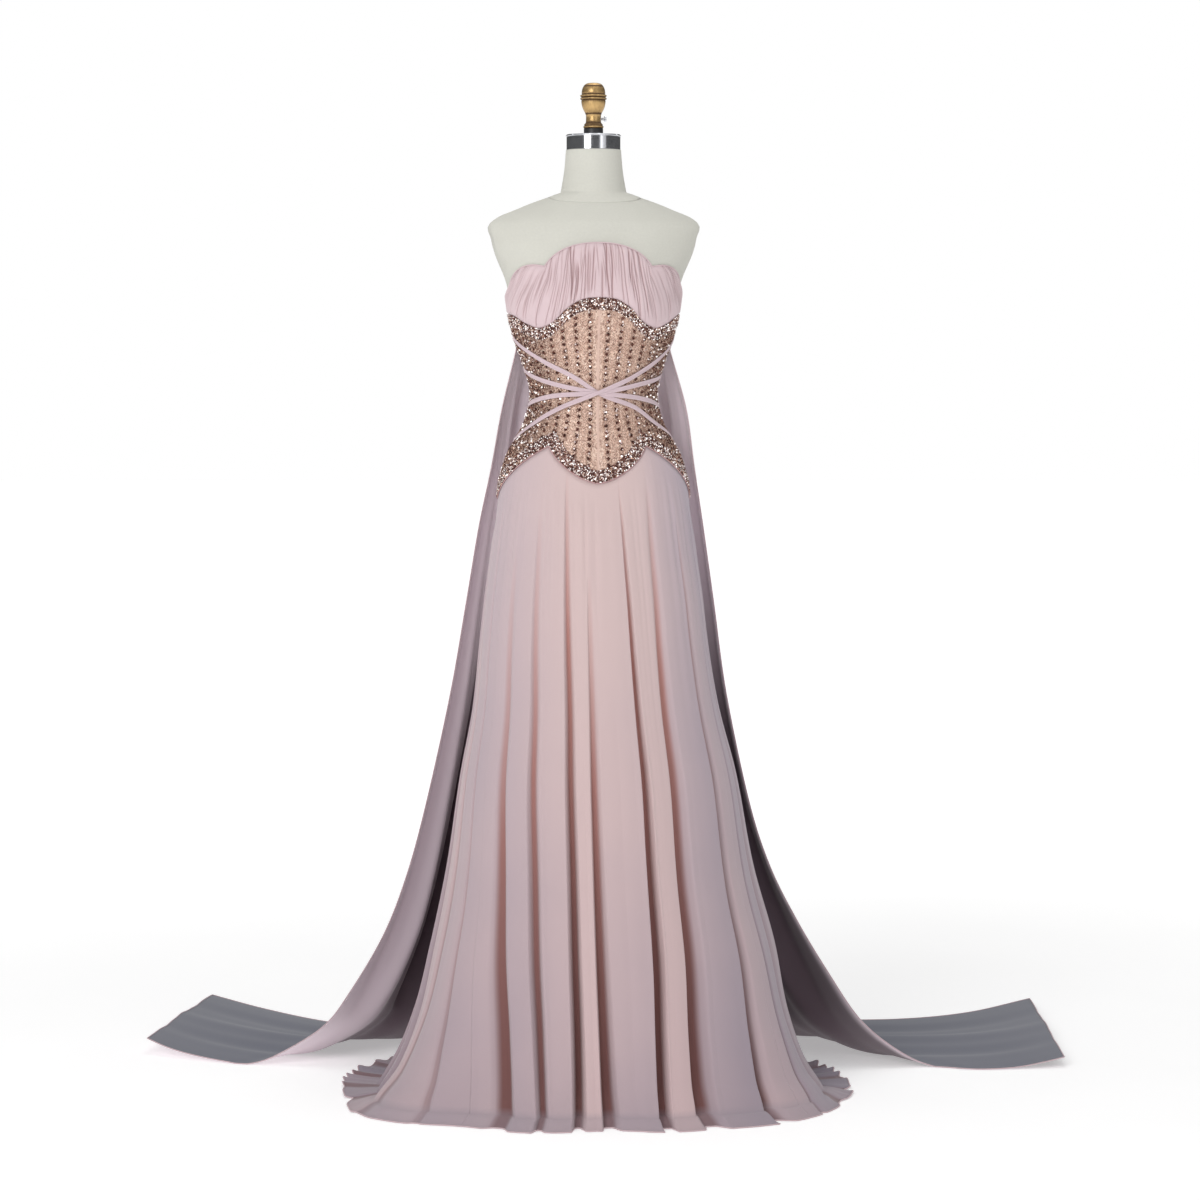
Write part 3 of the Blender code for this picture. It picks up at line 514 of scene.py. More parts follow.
def brass_look(wire):
    """Old brass: bright on the rings, brown tarnish in the grooves, fine scratches up the side."""
    cloud = wire.noise(70.0, 4.0, 0.6)
    stretched = wire.node("Mapping", {}, {"Vector": wire.place(), "Scale": (1.0, 1.0, 0.18)})
    streaks = wire.noise(420.0, 3.0, 0.6, at=stretched)
    grime = wire.mark("grime")
    dirty = (grime * 1.1 + cloud * 0.6 + streaks * 0.6 - 0.42).within(0.0, 0.8)
    return {
        "Base Color": dirty.mixed(colour(198, 164, 112), colour(92, 68, 42)),
        "Roughness": 0.34 + dirty * 0.32,
        "Metallic": 0.9 - dirty * 0.5,
        "Normal": wire.raised(streaks + cloud, 0.0002, 0.5),
    }


chrome = finish("chrome", {"Metallic": 1.0}, chrome_look)
black_plastic = finish("black_plastic", {}, grained(
    300.0, (0.012, 0.012, 0.013), (0.03, 0.03, 0.032), 0.38, 0.15, 0.0001,
))
antique_brass = finish("antique_brass", {}, brass_look)

CAP_R, CAP_RIM_R = 0.0475, 0.0013
turned(
    "neck_cap_plate",
    [
        Ring(CAP_R - 0.0004, 1.6660), Ring(CAP_R, 1.6664), Ring(CAP_R, 1.6885),
        *bead_roll(CAP_R, 1.6905, CAP_RIM_R),
        Ring(CAP_R - 0.0006, 1.6929), Ring(CAP_R - 0.0022, 1.6930), Ring(CAP_R - 0.0030, 1.6922),
        Ring(0.0205, 1.6922), Ring(0.0195, 1.6931),
    ],
    chrome, "neck_cap",
)
RIVETS = (-54, 54, 126, -126)  # degrees round the cap's rim
RIVET_R, RIVET_OUT, RIVET_HEIGHT = 0.0019, 0.0004, 1.6912
shape = bmesh.new()
for at in RIVETS:
    made = bmesh.ops.create_uvsphere(shape, u_segments=16, v_segments=10, radius=RIVET_R)
    turn = math.radians(at)
    step = Vector((math.sin(turn), -math.cos(turn), 0)) * (CAP_R + RIVET_OUT)
    bmesh.ops.translate(shape, verts=made["verts"], vec=step + Vector((0, 0, RIVET_HEIGHT)))
rivets = meshed("cap_rivets", shape)
rivets.shade_smooth()
hard_piece("cap_rivets", rivets, chrome, "gown")

turned(
    "finial_collar_ring",
    [Ring(0.0166, 1.6933), Ring(0.0170, 1.6937), Ring(0.0170, 1.7030), Ring(0.0165, 1.7035)],
    black_plastic, "finial_collar",
)

FINIAL = [
    Ring(0.0170, 1.7038), *bead_roll(0.0160, 1.7064, 0.0020), Ring(0.0163, 1.7090),
    Ring(0.0166, 1.7106), Ring(0.0146, 1.7128), Ring(0.0136, 1.7140), Ring(0.0132, 1.7180),
    Ring(0.0131, 1.7230), Ring(0.0134, 1.7272), Ring(0.0142, 1.7290), Ring(0.0143, 1.7302),
    Ring(0.0152, 1.7316), Ring(0.0174, 1.7356), Ring(0.0193, 1.7400), Ring(0.0206, 1.7446),
    Ring(0.0213, 1.7490), Ring(0.0214, 1.7526), Ring(0.0206, 1.7538),
    *bead_roll(0.0216, 1.7560, 0.0018), Ring(0.0210, 1.7586),
    *bead_roll(0.0216, 1.7610, 0.0018), Ring(0.0204, 1.7636), Ring(0.0209, 1.7650),
    Ring(0.0208, 1.7680), Ring(0.0200, 1.7722), Ring(0.0186, 1.7760), Ring(0.0176, 1.7776),
    Ring(0.0160, 1.7800), Ring(0.0130, 1.7822), Ring(0.0090, 1.7834), Ring(0.0040, 1.7839),
]
finial = turned("finial_brass", FINIAL, antique_brass, "finial")
GROOVES = (1.7040, 1.7092, 1.7132, 1.7296, 1.7537, 1.7586, 1.7637, 1.7778)
GROOVE_WIDTH = 0.0011
heights = np.array([v.co.z for v in finial.data.vertices])
grime = sum(bell((heights - groove) / GROOVE_WIDTH) for groove in GROOVES)
finial.data.attributes.new("grime", "FLOAT", "POINT").data.foreach_set(
    "value", np.clip(grime, 0, 1).astype(np.float32)
)

SCREW_START, SCREW_HEIGHT, SCREW_SHANK_R, SCREW_SHANK = 0.0137, 1.7205, 0.0022, 0.0050
SCREW_HEAD_R, SCREW_HEAD, KNURLS, KNURL_SHARE = 0.0048, 0.0040, 24, 0.93
shape = bmesh.new()
for radius, start, length, sides, groove in (
    (SCREW_SHANK_R, 0, SCREW_SHANK, 24, 1.0),
    (SCREW_HEAD_R, SCREW_SHANK, SCREW_HEAD, 2 * KNURLS, KNURL_SHARE),
):
    made = bmesh.ops.create_cone(
        shape, cap_ends=True, segments=sides, radius1=radius, radius2=radius, depth=length
    )
    for vertex in made["verts"]:  # every second corner is cut in, and the Z axis turned to X
        side = round(math.atan2(vertex.co.y, vertex.co.x) / math.tau * sides)
        knurl = groove if side % 2 else 1.0
        x, y, z = vertex.co.x * knurl, vertex.co.y * knurl, vertex.co.z
        vertex.co = (z + start + length / 2 + SCREW_START, y, SCREW_HEIGHT - x)
bmesh.ops.recalc_face_normals(shape, faces=shape.faces)
screw = hard_piece(
    "thumb_screw_knurled", meshed("thumb_screw_knurled", shape), chrome, "thumb_screw",
    "thumb_screw",
)
worn_edges = screw.modifiers.new("edges", "BEVEL")
worn_edges.width, worn_edges.segments = 0.0002, 2

# ---------------------------------------------------------------- the stand, under the skirt
# A plain round steel base and its pole, painted satin black. The skirt hides both.


def repaint(names, look):
    """Another material for pieces that keep their solids."""
    for name in names:
        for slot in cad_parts[name].material_slots:
            slot.material = look


painted_steel = finish("painted_steel", {}, grained(
    160.0, (0.022, 0.022, 0.024), (0.035, 0.035, 0.038), 0.36, 0.16, 0.0002,
))
repaint(("stand_base", "stand_pole"), painted_steel)

# ---------------------------------------------------------------- the ruched bust
# Fine chiffon gathered into uneven vertical creases over a firm cup, with a folded top edge in
# three scallops. The creases are sharp near the middle and die out towards the sides.

Spot = namedtuple("Spot", "angle height")
NECK_DOME_TOP, NECK_DOME_DROP, NECK_DOME_POWER, NECK_NOTCH = 1.4990, 0.0400, 2.2, 34
NECK_SIDE = [
    Spot(34, 1.4580), Spot(42, 1.4610), Spot(50, 1.4590), Spot(60, 1.4505), Spot(74, 1.4310),
    Spot(84, 1.4170), Spot(96, 1.4100), Spot(120, 1.4010), Spot(150, 1.3910), Spot(180, 1.3870),
]
UNDERBUST = [
    Spot(0, 1.4045), Spot(12, 1.4005), Spot(20, 1.3900), Spot(32, 1.3640), Spot(45, 1.3525),
    Spot(56, 1.3590), Spot(71, 1.3725), Spot(90, 1.3775), Spot(120, 1.3720),
    Spot(150, 1.3640), Spot(180, 1.3600),
]
CLOTH_LIFT, CLOTH_WALL = 0.0016, 0.0015
BODICE_OUT = CLOTH_LIFT + CLOTH_WALL  # the boned bodice's outer face, from the form's


def neckline(angle):
    off = np.abs(angle)
    dome = NECK_DOME_TOP - NECK_DOME_DROP * (off / NECK_NOTCH) ** NECK_DOME_POWER
    return np.where(off < NECK_NOTCH, dome, curve(NECK_SIDE, "angle", "height", off))


def underbust(angle):
    return curve(UNDERBUST, "angle", "height", np.abs(angle))


def between(start, end, low, high, across, up):
    """Angles and heights of points on a panel that lies between two edges."""
    angle = start + (end - start) * across
    return angle, low(angle) + (high(angle) - low(angle)) * up


CREASE_STEP, CREASE_WIDTH, CREASE_DEPTH = 1.4, 0.28, 0.0024  # degrees, degrees, metres
# A crease slants and curves by a share of its angle, sways by some degrees, and fades at its ends.
CREASE_LEAN, CREASE_BOW, CREASE_SWAY, CREASE_END = -0.52, 0.40, 0.45, 0.25
CUP_FROM, CUP_TO, CUP_LATER, CUP_SHALLOWER = 26, 48, 0.18, 0.35  # how they differ on the cups
PUFF_WIDTH, PUFF_DEPTH = 1.0, 0.0009  # the soft hollow on each side of a crease


def gathers(angle, share, seed):
    """How deep the chiffon's sharp creases and the soft hollows beside them are, in metres."""
    pick = np.random.default_rng(seed)
    sharp, soft = np.zeros(angle.shape), np.zeros(angle.shape)
    at = -90.0
    while at < 90:
        at += CREASE_STEP * pick.uniform(0.45, 1.6)
        on_cup = float(eased(abs(at), CUP_FROM, CUP_TO))
        lean = CREASE_LEAN * at + pick.normal(0, 1.6)
        bow = CREASE_BOW * at * on_cup
        sway = pick.uniform(-CREASE_SWAY, CREASE_SWAY)
        wide = CREASE_WIDTH * pick.uniform(0.7, 1.5)
        start = pick.uniform(-0.3, 0.45) + CUP_LATER * on_cup
        end = pick.uniform(0.6, 1.35)
        depth = pick.uniform(0.25, 1.1) * (1 - CUP_SHALLOWER * on_cup)
        line = at + lean * (share - 0.5) + sway * np.sin(share * 6 + at)
        line = line + bow * share * (1 - share)
        length = eased((share - start) / CREASE_END) * eased((end - share) / CREASE_END)
        off = np.abs(angle - line)
        sharp = np.maximum(sharp, depth * length * bell(off / wide, 1.4))
        soft += depth * length * bell(off / PUFF_WIDTH)
    return CREASE_DEPTH * sharp, PUFF_DEPTH * soft


BUST_OVER, BUST_SEAT, BUST_PUFF, BUST_TUCK, BUST_LEAST = 0.0008, 0.0040, 0.0024, 0.0020, 0.0014
RISE_EASE, CREASE_EASE, TUCK_FROM, TUCK_EASE = 0.10, 0.05, 0.92, 0.08
PUFF_FOOT, PUFF_HEAD = 0.14, 0.10  # these six are shares of the bust's height


def bust_place(start, end, seed, fade):
    """Ruched cloth that rises from the bodice's edge, puffs out, and is tucked in at its top."""

    def place(across, up):
        angle, height = between(start, end, underbust, neckline, across, up)
        off_side_seam = eased(90 - np.abs((angle + 180) % 180 - 90))
        line = angle if end - start > 90 else (angle + 90) % 180 - 90
        sharp, soft = gathers(line, up, seed)
        deep = (sharp + soft) * fade(angle) * off_side_seam
        risen = eased(up / RISE_EASE)
        seat = (BODICE_OUT + BUST_OVER) * (1 - risen) + BUST_SEAT * risen
        seat = seat - BUST_TUCK * eased((up - TUCK_FROM) / TUCK_EASE)
        puff = BUST_PUFF * eased(up / PUFF_FOOT) * eased((1 - up) / PUFF_HEAD)
        out = np.maximum(seat + puff - deep * eased(up / CREASE_EASE), BUST_LEAST)
        # how deep each crease is, which sets the shade painted into it
        crease_shade = np.clip(sharp * fade(angle) / CREASE_DEPTH, 0, 1)
        return laid(body, angle, height, out), {"crease_shade": crease_shade}

    return place


def crepe(wire, strength):
    """Chiffon's crepe-twisted threads, a few to a millimetre, pebbled all over."""
    at = wire.cloth_place()
    threads = wire.node(
        "TexWave", {"bands_direction": "X"}, {"Vector": at, "Scale": 900.0, "Distortion": 2.0}
    )
    pebbles = wire.noise(1400.0, at=at)
    return wire.raised(threads * 0.4 + pebbles, 0.0001, strength)


def bust_look(wire):
    crease_shade = wire.mark("crease_shade")
    cloud = wire.noise(18.0)
    pale = cloud.mixed(colour(213, 192, 195), colour(205, 183, 187))
    return {
        # the creases are painted darker, as their shade
        "Base Color": (crease_shade ** 0.8 * 0.85).mixed(pale, colour(140, 98, 98)),
        "Normal": crepe(wire, 0.35),
    }


CHIFFON_THICK = 0.0007  # of the ruched and pleated chiffon; the skirt's two layers have more
chiffon_fixed = {"Roughness": 0.85, "Sheen Weight": 0.25, "Specular IOR Level": 0.2}
bust_chiffon = finish("bust_chiffon", chiffon_fixed, bust_look)
Bust = namedtuple("Bust", "name start end seed columns rows flat area")
BUSTS = [
    Bust("front", -90, 90, 3, 880, 44, (0.60, 0.14), 0.056),
    Bust("back_right", 90, 180, 4, 150, 24, (0.26, 0.05), 0.0078),
    Bust("back_left", -180, -90, 5, 150, 24, (0.26, 0.05), 0.0078),
]


OUTER_FROM, OUTER_TO, OUTER_LOSS = 56, 86, 0.6
BACK_SHARE, ZIP_SMOOTH, ZIP_EASE = 0.3, 176, 12


def front_fade(angle):
    """The creases are shallower on the outer side of each cup."""
    return 1 - OUTER_LOSS * eased(np.abs(angle), OUTER_FROM, OUTER_TO)


def back_fade(angle):
    """They are shallow at the back, and die out at the zip."""
    return BACK_SHARE * eased((ZIP_SMOOTH - np.abs(angle)) / ZIP_EASE)


for part in BUSTS:
    fade = front_fade if part.name == "front" else back_fade
    piece = cloth(
        f"bust_ruching_{part.name}", part.columns, part.rows,
        bust_place(part.start, part.end, part.seed, fade), part.flat, [bust_chiffon],
        CHIFFON_THICK,
    )
    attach(piece, "gown")
    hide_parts(f"bust_{part.name}")


def rolled(name, path, radius, look, sides=8):
    """A thin rolled edge or piping that follows a path of points."""
    steps = len(path) - 1
    way = np.gradient(path, axis=0)
    way /= np.maximum(np.linalg.norm(way, axis=1, keepdims=True), 1e-9)
    side = np.cross(way, (0, 0, 1.0))
    weak = np.linalg.norm(side, axis=1) < 0.2
    side[weak] = np.cross(way[weak], (0, 1.0, 0))
    side /= np.linalg.norm(side, axis=1, keepdims=True)
    over = np.cross(side, way)

    def place(across, up):
        row = np.rint(up * steps).astype(int)
        turn = -across * math.tau
        ring = side[row] * np.cos(turn)[:, None] + over[row] * np.sin(turn)[:, None]
        return path[row] + ring * radius, {}

    length = float(np.linalg.norm(np.diff(path, axis=0), axis=1).sum())
    piece = cloth(name, sides, steps, place, (math.tau * radius, length), [look], closed=True)
    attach(piece, "gown")
    return piece


def rolled_look(pale, deep):
    def look(wire):
        fibre = wire.noise(900.0, at=wire.cloth_place())
        return {
            "Base Color": fibre.mixed(pale, deep),
            "Normal": wire.raised(fibre, 0.0002, 0.4),
        }

    return look


rolled_hem = finish(
    "rolled_hem", chiffon_fixed, rolled_look(colour(206, 184, 188), colour(188, 164, 170))
)
piping = finish("piping", chiffon_fixed, rolled_look(colour(196, 160, 160), colour(176, 136, 138)))
EDGE_R, TOP_FOLD_OUT = 0.0010, 0.0022
around = np.linspace(-180, 180, 481)
rolled("bust_top_fold", laid(body, around, neckline(around), TOP_FOLD_OUT), EDGE_R,
       bust_chiffon)

# ---------------------------------------------------------------- the bodice's net
# A boned corset of nude net over a peach ground, cut in a front and two backs that meet at the
# zip. A narrow plain channel runs down the centre front.

LOW_CENTRE, LOW_PEAK, LOW_SIDE, LOW_PEAK_ANGLE = 1.0810, 1.1447, 1.0520, 36
LOW_DOME_POWER, LOW_SWEEP_POWER = 1.6, 1.13
TRIM_TOP_WIDTH, TRIM_LOW_WIDTH = 0.020, 0.021
SEAM_GAP, LAY_GAP, BODY_R, STEEPEST = 0.0003, 0.0003, 0.14, 1.6


def low_edge(angle):
    """The bodice's lower edge: a dip at centre front and back, peaks, and a drop to the sides."""
    off = np.abs(angle)
    off = np.where(off > 90, np.abs(180 - off), off)
    dip = LOW_CENTRE + (LOW_PEAK - LOW_CENTRE) * (off / LOW_PEAK_ANGLE) ** LOW_DOME_POWER
    past = np.clip((off - LOW_PEAK_ANGLE) / (90 - LOW_PEAK_ANGLE), 0, 1)
    drop = LOW_PEAK - (LOW_PEAK - LOW_SIDE) * past**LOW_SWEEP_POWER
    return np.where(off < LOW_PEAK_ANGLE, dip, drop)


def steepness(edge, angle):
    """How much longer a sloping edge is than its angle alone would make it."""
    rise = (edge(angle + 1) - edge(angle - 1)) / (math.radians(2) * BODY_R)
    return np.minimum(np.sqrt(1 + rise**2), STEEPEST)


def bodice_low(angle):
    return low_edge(angle) + SEAM_GAP / 2 * steepness(low_edge, angle)


def bodice_high(angle):
    return underbust(angle) - SEAM_GAP / 2 * steepness(underbust, angle)


def trim_low_top(angle):
    return bodice_low(angle) + TRIM_LOW_WIDTH * steepness(low_edge, angle)


NET_DARK_FROM, NET_DARK_TO = 18, 62  # degrees between which the ground turns browner, as shade painted on the sides
CHANNEL_HALF, CHANNEL_RISE, CHANNEL_WITHIN = 0.0021, 0.0006, 20
NET_ROWS, NET_THICK = 56, 0.0009


def net_place(start, end):
    """Net over the boned ground, raised a little along its plain centre channel."""

    def place(across, up):
        angle, height = between(start, end, bodice_low, bodice_high, across, up)
        across_front = body(angle, height)[..., 0]
        channel = bell(across_front / CHANNEL_HALF, 4) * (np.abs(angle) < CHANNEL_WITHIN)
        shaded = eased(np.abs(angle), NET_DARK_FROM, NET_DARK_TO)
        marks = {"channel": channel, "shaded": shaded}
        return laid(body, angle, height, BODICE_OUT + CHANNEL_RISE * channel), marks

    return place


def net_look(wire):
    """Peach ground under fine diamond net, painted browner towards the sides as shade, with tiny
    sequins sewn between beads whose sparkle is partly painted in as pale flecks.
    """
    at = wire.cloth_place()
    mesh = wire.node("TexVoronoi", {"feature": "DISTANCE_TO_EDGE"}, {"Vector": at, "Scale": 700.0})
    flecks = wire.node("TexVoronoi", {}, {"Vector": at, "Scale": 420.0}, out=1)
    grey = wire.node("RGBToBW", {}, {0: flecks})
    cloud = wire.noise(60.0, 3.0, at=at)
    channel = wire.mark("channel")
    spark = grey.within(0.55, 0.75) * (1 - channel)
    dark = (1 - grey).within(0.62, 0.8) * (1 - channel)
    peach = cloud.mixed(colour(212, 180, 162), colour(190, 154, 138))
    # towards the sides the ground is painted browner, as shade
    ground = (wire.mark("shaded") * 0.85).mixed(peach, colour(130, 98, 84))
    flecked = (dark * 0.6).mixed(ground, colour(112, 78, 70))
    lit = (spark * 0.65).mixed(flecked, colour(240, 218, 202))
    return {
        "Base Color": (channel * 0.6).mixed(lit, colour(222, 192, 180)),
        "Roughness": 0.62 - spark * 0.3,
        "Metallic": spark * 0.35,
        "Normal": wire.raised(mesh.within(0.0, 0.15), 0.0003, 0.4),
    }


beaded_net = finish("beaded_net", {"Specular IOR Level": 0.5}, net_look)
Panel = namedtuple("Panel", "name start end columns net_flat net_area")
PANELS = [
    Panel("front", -90, 90, 180, (0.54, 0.34), 0.100),
    Panel("back_right", 90, 180, 90, (0.28, 0.34), 0.048),
    Panel("back_left", -180, -90, 90, (0.28, 0.34), 0.048),
]
for part in PANELS:
    piece = cloth(
        f"bodice_net_{part.name}", part.columns, NET_ROWS, net_place(part.start, part.end),
        part.net_flat, [beaded_net], NET_THICK,
    )
    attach(piece, "gown")
    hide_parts(f"bodice_{part.name}")

# ---------------------------------------------------------------- the two beaded edge bands
# Closely beaded bands, raised over a cord, that finish the bodice's upper and lower edges.

TRIM_WALL, TRIM_EDGE, TRIM_ROWS = 0.0018, 0.45, 8  # a band's height, and its edges' share of it
ZIP_CHANNEL = 1.6  # degrees at centre back that the bands leave open for the zip


def trim_place(start, end, low, high):
    """A band that is highest along its middle."""

    def place(across, up):
        angle, height = between(start, end, low, high, across, up)
        over_cord = np.sqrt(np.clip(4 * up * (1 - up), 0, 1))
        crown = TRIM_WALL * (TRIM_EDGE + (1 - TRIM_EDGE) * over_cord)
        return laid(body, angle, height, BODICE_OUT + LAY_GAP + crown), {}

    return place


def trim_ground_look(wire):
    at = wire.cloth_place()
    flecks = wire.node("TexVoronoi", {}, {"Vector": at, "Scale": 480.0}, out=1)
    grey = wire.node("RGBToBW", {}, {0: flecks})
    return {
        "Base Color": grey.mixed(colour(58, 36, 36), colour(150, 112, 104)),
        "Roughness": 0.55 - grey * 0.3,
        "Metallic": grey * 0.5,
        "Normal": wire.raised(grey, 0.0005, 0.7),
    }


trim_ground = finish("bead_trim_ground", {}, trim_ground_look)


def trim_top_low(angle):
    return bodice_high(angle) - TRIM_TOP_WIDTH


Band = namedtuple("Band", "name low high flat_front flat_back area_front area_back")
TRIMS = [
    Band("top", trim_top_low, bodice_high, (0.46, 0.021), (0.19, 0.021), 0.0089, 0.0039),
    Band("low", bodice_low, trim_low_top, (0.55, 0.021), (0.28, 0.021), 0.0111, 0.0058),
]
for band in TRIMS:
    for part in PANELS:
        start = part.start + (ZIP_CHANNEL if part.start == -180 else 0)
        end = part.end - (ZIP_CHANNEL if part.end == 180 else 0)
        front = part.name == "front"
        flat = band.flat_front if front else band.flat_back
        piece = cloth(
            f"trim_{band.name}_ground_{part.name}", part.columns, TRIM_ROWS,
            trim_place(start, end, band.low, band.high), flat, [trim_ground], NET_THICK,
        )
        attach(piece, "gown")
        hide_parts(f"trim_{band.name}_{part.name}")
        band.area_front if front else band.area_back

PIPING_BELOW, PIPING_OUT = 0.0010, 0.0012
low_path = laid(body, around, bodice_low(around) - PIPING_BELOW, BODICE_OUT + PIPING_OUT)
rolled("bodice_low_piping", low_path, EDGE_R, piping)

# ---------------------------------------------------------------- the crossing bands
# Four narrow tubes of chiffon, pressed flat in lengthwise pleats, which lie across the bodice
# from side seam to side seam and pass over each other at the centre front.

BAND_WIDTH, BAND_LIFT, BAND_STACK = 0.0085, 0.0009, 0.0015
STACK_FULL, STACK_END, BAND_END, WAIST_R = 20, 44, 89, 0.115
BAND_SOLE, BAND_CROWN = 0.0010, 0.0010  # the band's height at its edges, and above that
PINCH, PINCH_SPREAD = 0.16, 9  # how much narrower the bands are where they cross
BAND_PLEATS, PLEAT_WIDTH, PLEAT_DEPTH = (-0.42, 0.02, 0.46), 0.09, 0.00045
BAND_COLUMNS, BAND_ROWS = 220, 14
BANDS = {
    "band_high_left": [
        Spot(-88, 1.3360), Spot(-69, 1.3180), Spot(-47, 1.2935), Spot(-23, 1.2690),
        Spot(0, 1.2386), Spot(39, 1.2077), Spot(54, 1.1880), Spot(88, 1.1570),
    ],
    "band_mid_left": [
        Spot(-88, 1.2804), Spot(-57, 1.2623), Spot(0, 1.2386), Spot(41, 1.2288),
        Spot(88, 1.2116),
    ],
    "band_mid_right": [
        Spot(-88, 1.2166), Spot(-41, 1.2330), Spot(0, 1.2386), Spot(40, 1.2535),
        Spot(88, 1.2705),
    ],
    "band_high_right": [
        Spot(-88, 1.1527), Spot(-47, 1.1988), Spot(0, 1.2386), Spot(37, 1.2730),
        Spot(61, 1.3000), Spot(88, 1.3360),
    ],
}


def band_height(waypoints, angle):
    return curve(waypoints, "angle", "height", angle)


def band_lean(waypoints, angle):
    """How much taller a band stands at a place for running at a slant."""
    rise = band_height(waypoints, angle + 1) - band_height(waypoints, angle - 1)
    return np.sqrt(1 + (rise / (math.radians(2) * WAIST_R)) ** 2)


def band_place(waypoints, layer):
    """A pressed tube that follows its waypoints and lies on the bands sewn before it."""

    def place(across, up):
        angle = BAND_END * (2 * across - 1)
        from_middle = 2 * up - 1
        pinch = 1 - PINCH * bell(angle / PINCH_SPREAD)
        height = band_height(waypoints, angle)
        height = height + from_middle * BAND_WIDTH / 2 * pinch * band_lean(waypoints, angle)
        stacked = 1 - eased(np.abs(angle), STACK_FULL, STACK_END)
        pleats = sum(bell((from_middle - at) / PLEAT_WIDTH) for at in BAND_PLEATS)
        crown = BAND_CROWN * np.sqrt(np.clip(1 - from_middle**2, 0, 1)) - PLEAT_DEPTH * pleats
        out = BODICE_OUT + BAND_LIFT + BAND_SOLE + crown + layer * BAND_STACK * stacked
        # the pleats' mark sets the shade painted into them
        return laid(body, angle, height, out), {"pleat": np.clip(pleats, 0, 1)}

    return place


def band_look(wire):
    pleat = wire.mark("pleat")
    cloud = wire.noise(50.0)
    pale = cloud.mixed(colour(214, 194, 199), colour(204, 184, 190))
    return {
        # the pleats are painted darker, as their shade
        "Base Color": (pleat * 0.55).mixed(pale, colour(168, 142, 150)),
        "Normal": crepe(wire, 0.35),
    }


band_chiffon = finish("band_chiffon", chiffon_fixed, band_look)
BAND_CUTS = {"high": (0.40, 0.011), "mid": (0.33, 0.010)}  # pressed flat, in metres
for layer, (name, waypoints) in enumerate(BANDS.items()):
    cut = BAND_CUTS[name.split("_")[1]]
    piece = cloth(
        f"{name}_pleated", BAND_COLUMNS, BAND_ROWS, band_place(waypoints, layer), cut,
        [band_chiffon], CHIFFON_THICK,
    )
    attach(piece, "gown")
    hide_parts(name)

# ---------------------------------------------------------------- beads, sequins and crystals
# Sewn on by hand: columns of dark bronze beads up the bodice, rose-gold seed beads in chevrons
# between them, and a close cover of dark, gold and crystal beads on the two edge bands.

Bead = namedtuple("Bead", "round_it up_it")  # how many faces a bead has each way
ROUND, CUT, SEED = Bead(6, 4), Bead(5, 3), Bead(4, 2)
uneven = np.random.default_rng(11)


def strung(name, bead, angle, height, out, size, look, seed):
    """One mesh of many beads on the bodice, each turned at random as sewn beads lie."""
    shape = bmesh.new()
    bmesh.ops.create_uvsphere(
        shape, u_segments=bead.round_it, v_segments=bead.up_it, radius=0.5
    )
    bmesh.ops.triangulate(shape, faces=shape.faces)
    corners = np.array([v.co for v in shape.verts])
    sides = np.array([[v.index for v in face.verts] for face in shape.faces])
    shape.free()
    pick = np.random.default_rng(seed)
    turn = pick.normal(size=(len(angle), 4))
    w, x, y, z = (turn / np.linalg.norm(turn, axis=1, keepdims=True)).T
    spins = np.array([
        [1 - 2 * (y * y + z * z), 2 * (x * y - z * w), 2 * (x * z + y * w)],
        [2 * (x * y + z * w), 1 - 2 * (x * x + z * z), 2 * (y * z - x * w)],
        [2 * (x * z - y * w), 2 * (y * z + x * w), 1 - 2 * (x * x + y * y)],
    ]).transpose(2, 0, 1)
    centres = laid(body, angle, height, out)
    points = np.einsum("nij,kj->nki", spins, corners) * size[:, None, None] + centres[:, None]
    steps = np.arange(len(angle))[:, None, None] * len(corners)
    mesh = bpy.data.meshes.new(name)
    mesh.from_pydata(points.reshape(-1, 3), [], (sides[None] + steps).reshape(-1, 3))
    tones = np.repeat(pick.uniform(size=len(angle)), len(corners)).astype(np.float32)
    mesh.attributes.new("tone", "FLOAT", "POINT").data.foreach_set("value", tones)
    hard_piece(name, mesh, look, "gown")


def bead_look(dull, bright, rough, painted_glint=0.0):
    """Beads that differ in tone; on the brightest, a glint, the flash of a facet that faces a
    lamp, is painted in as a glow.
    """

    def look(wire):
        tone = wire.mark("tone")
        clouds = wire.noise(500.0, 1.0)
        return {
            "Base Color": tone.mixed(dull, bright),
            "Roughness": rough + tone * 0.12 + clouds * 0.06,
            "Emission Color": tone.within(0.5, 0.95).mixed((0, 0, 0), (painted_glint, painted_glint, painted_glint)),
        }

    return look


bronze_bead = finish(
    "bronze_bead", {"Metallic": 0.75}, bead_look(colour(66, 38, 36), colour(136, 92, 80), 0.16)
)
gold_bead = finish(
    "rose_gold_bead", {"Metallic": 0.7},
    bead_look(colour(170, 128, 108), colour(250, 224, 206), 0.14),
)
crystal = finish(
    "crystal",
    {"Metallic": 0.1, "Coat Weight": 1.0, "Coat Roughness": 0.03, "Emission Strength": 1.0},
    bead_look(colour(200, 172, 168), colour(255, 250, 246), 0.05, 0.7),
)


BEAD_REACH, BAND_PAST = 0.45, 0.8  # a bead's share that counts; degrees past a band's end


def clear_of_bands(angle, height, size):
    """Where no crossing band lies, so that no bead is under one."""
    clear = np.ones(angle.shape, bool)
    for waypoints in BANDS.values():
        reach = BAND_WIDTH / 2 * band_lean(waypoints, angle) + size * BEAD_REACH
        near = np.abs(height - band_height(waypoints, angle)) < reach
        clear &= ~(near & (np.abs(angle) < BAND_END + BAND_PAST))
    return clear


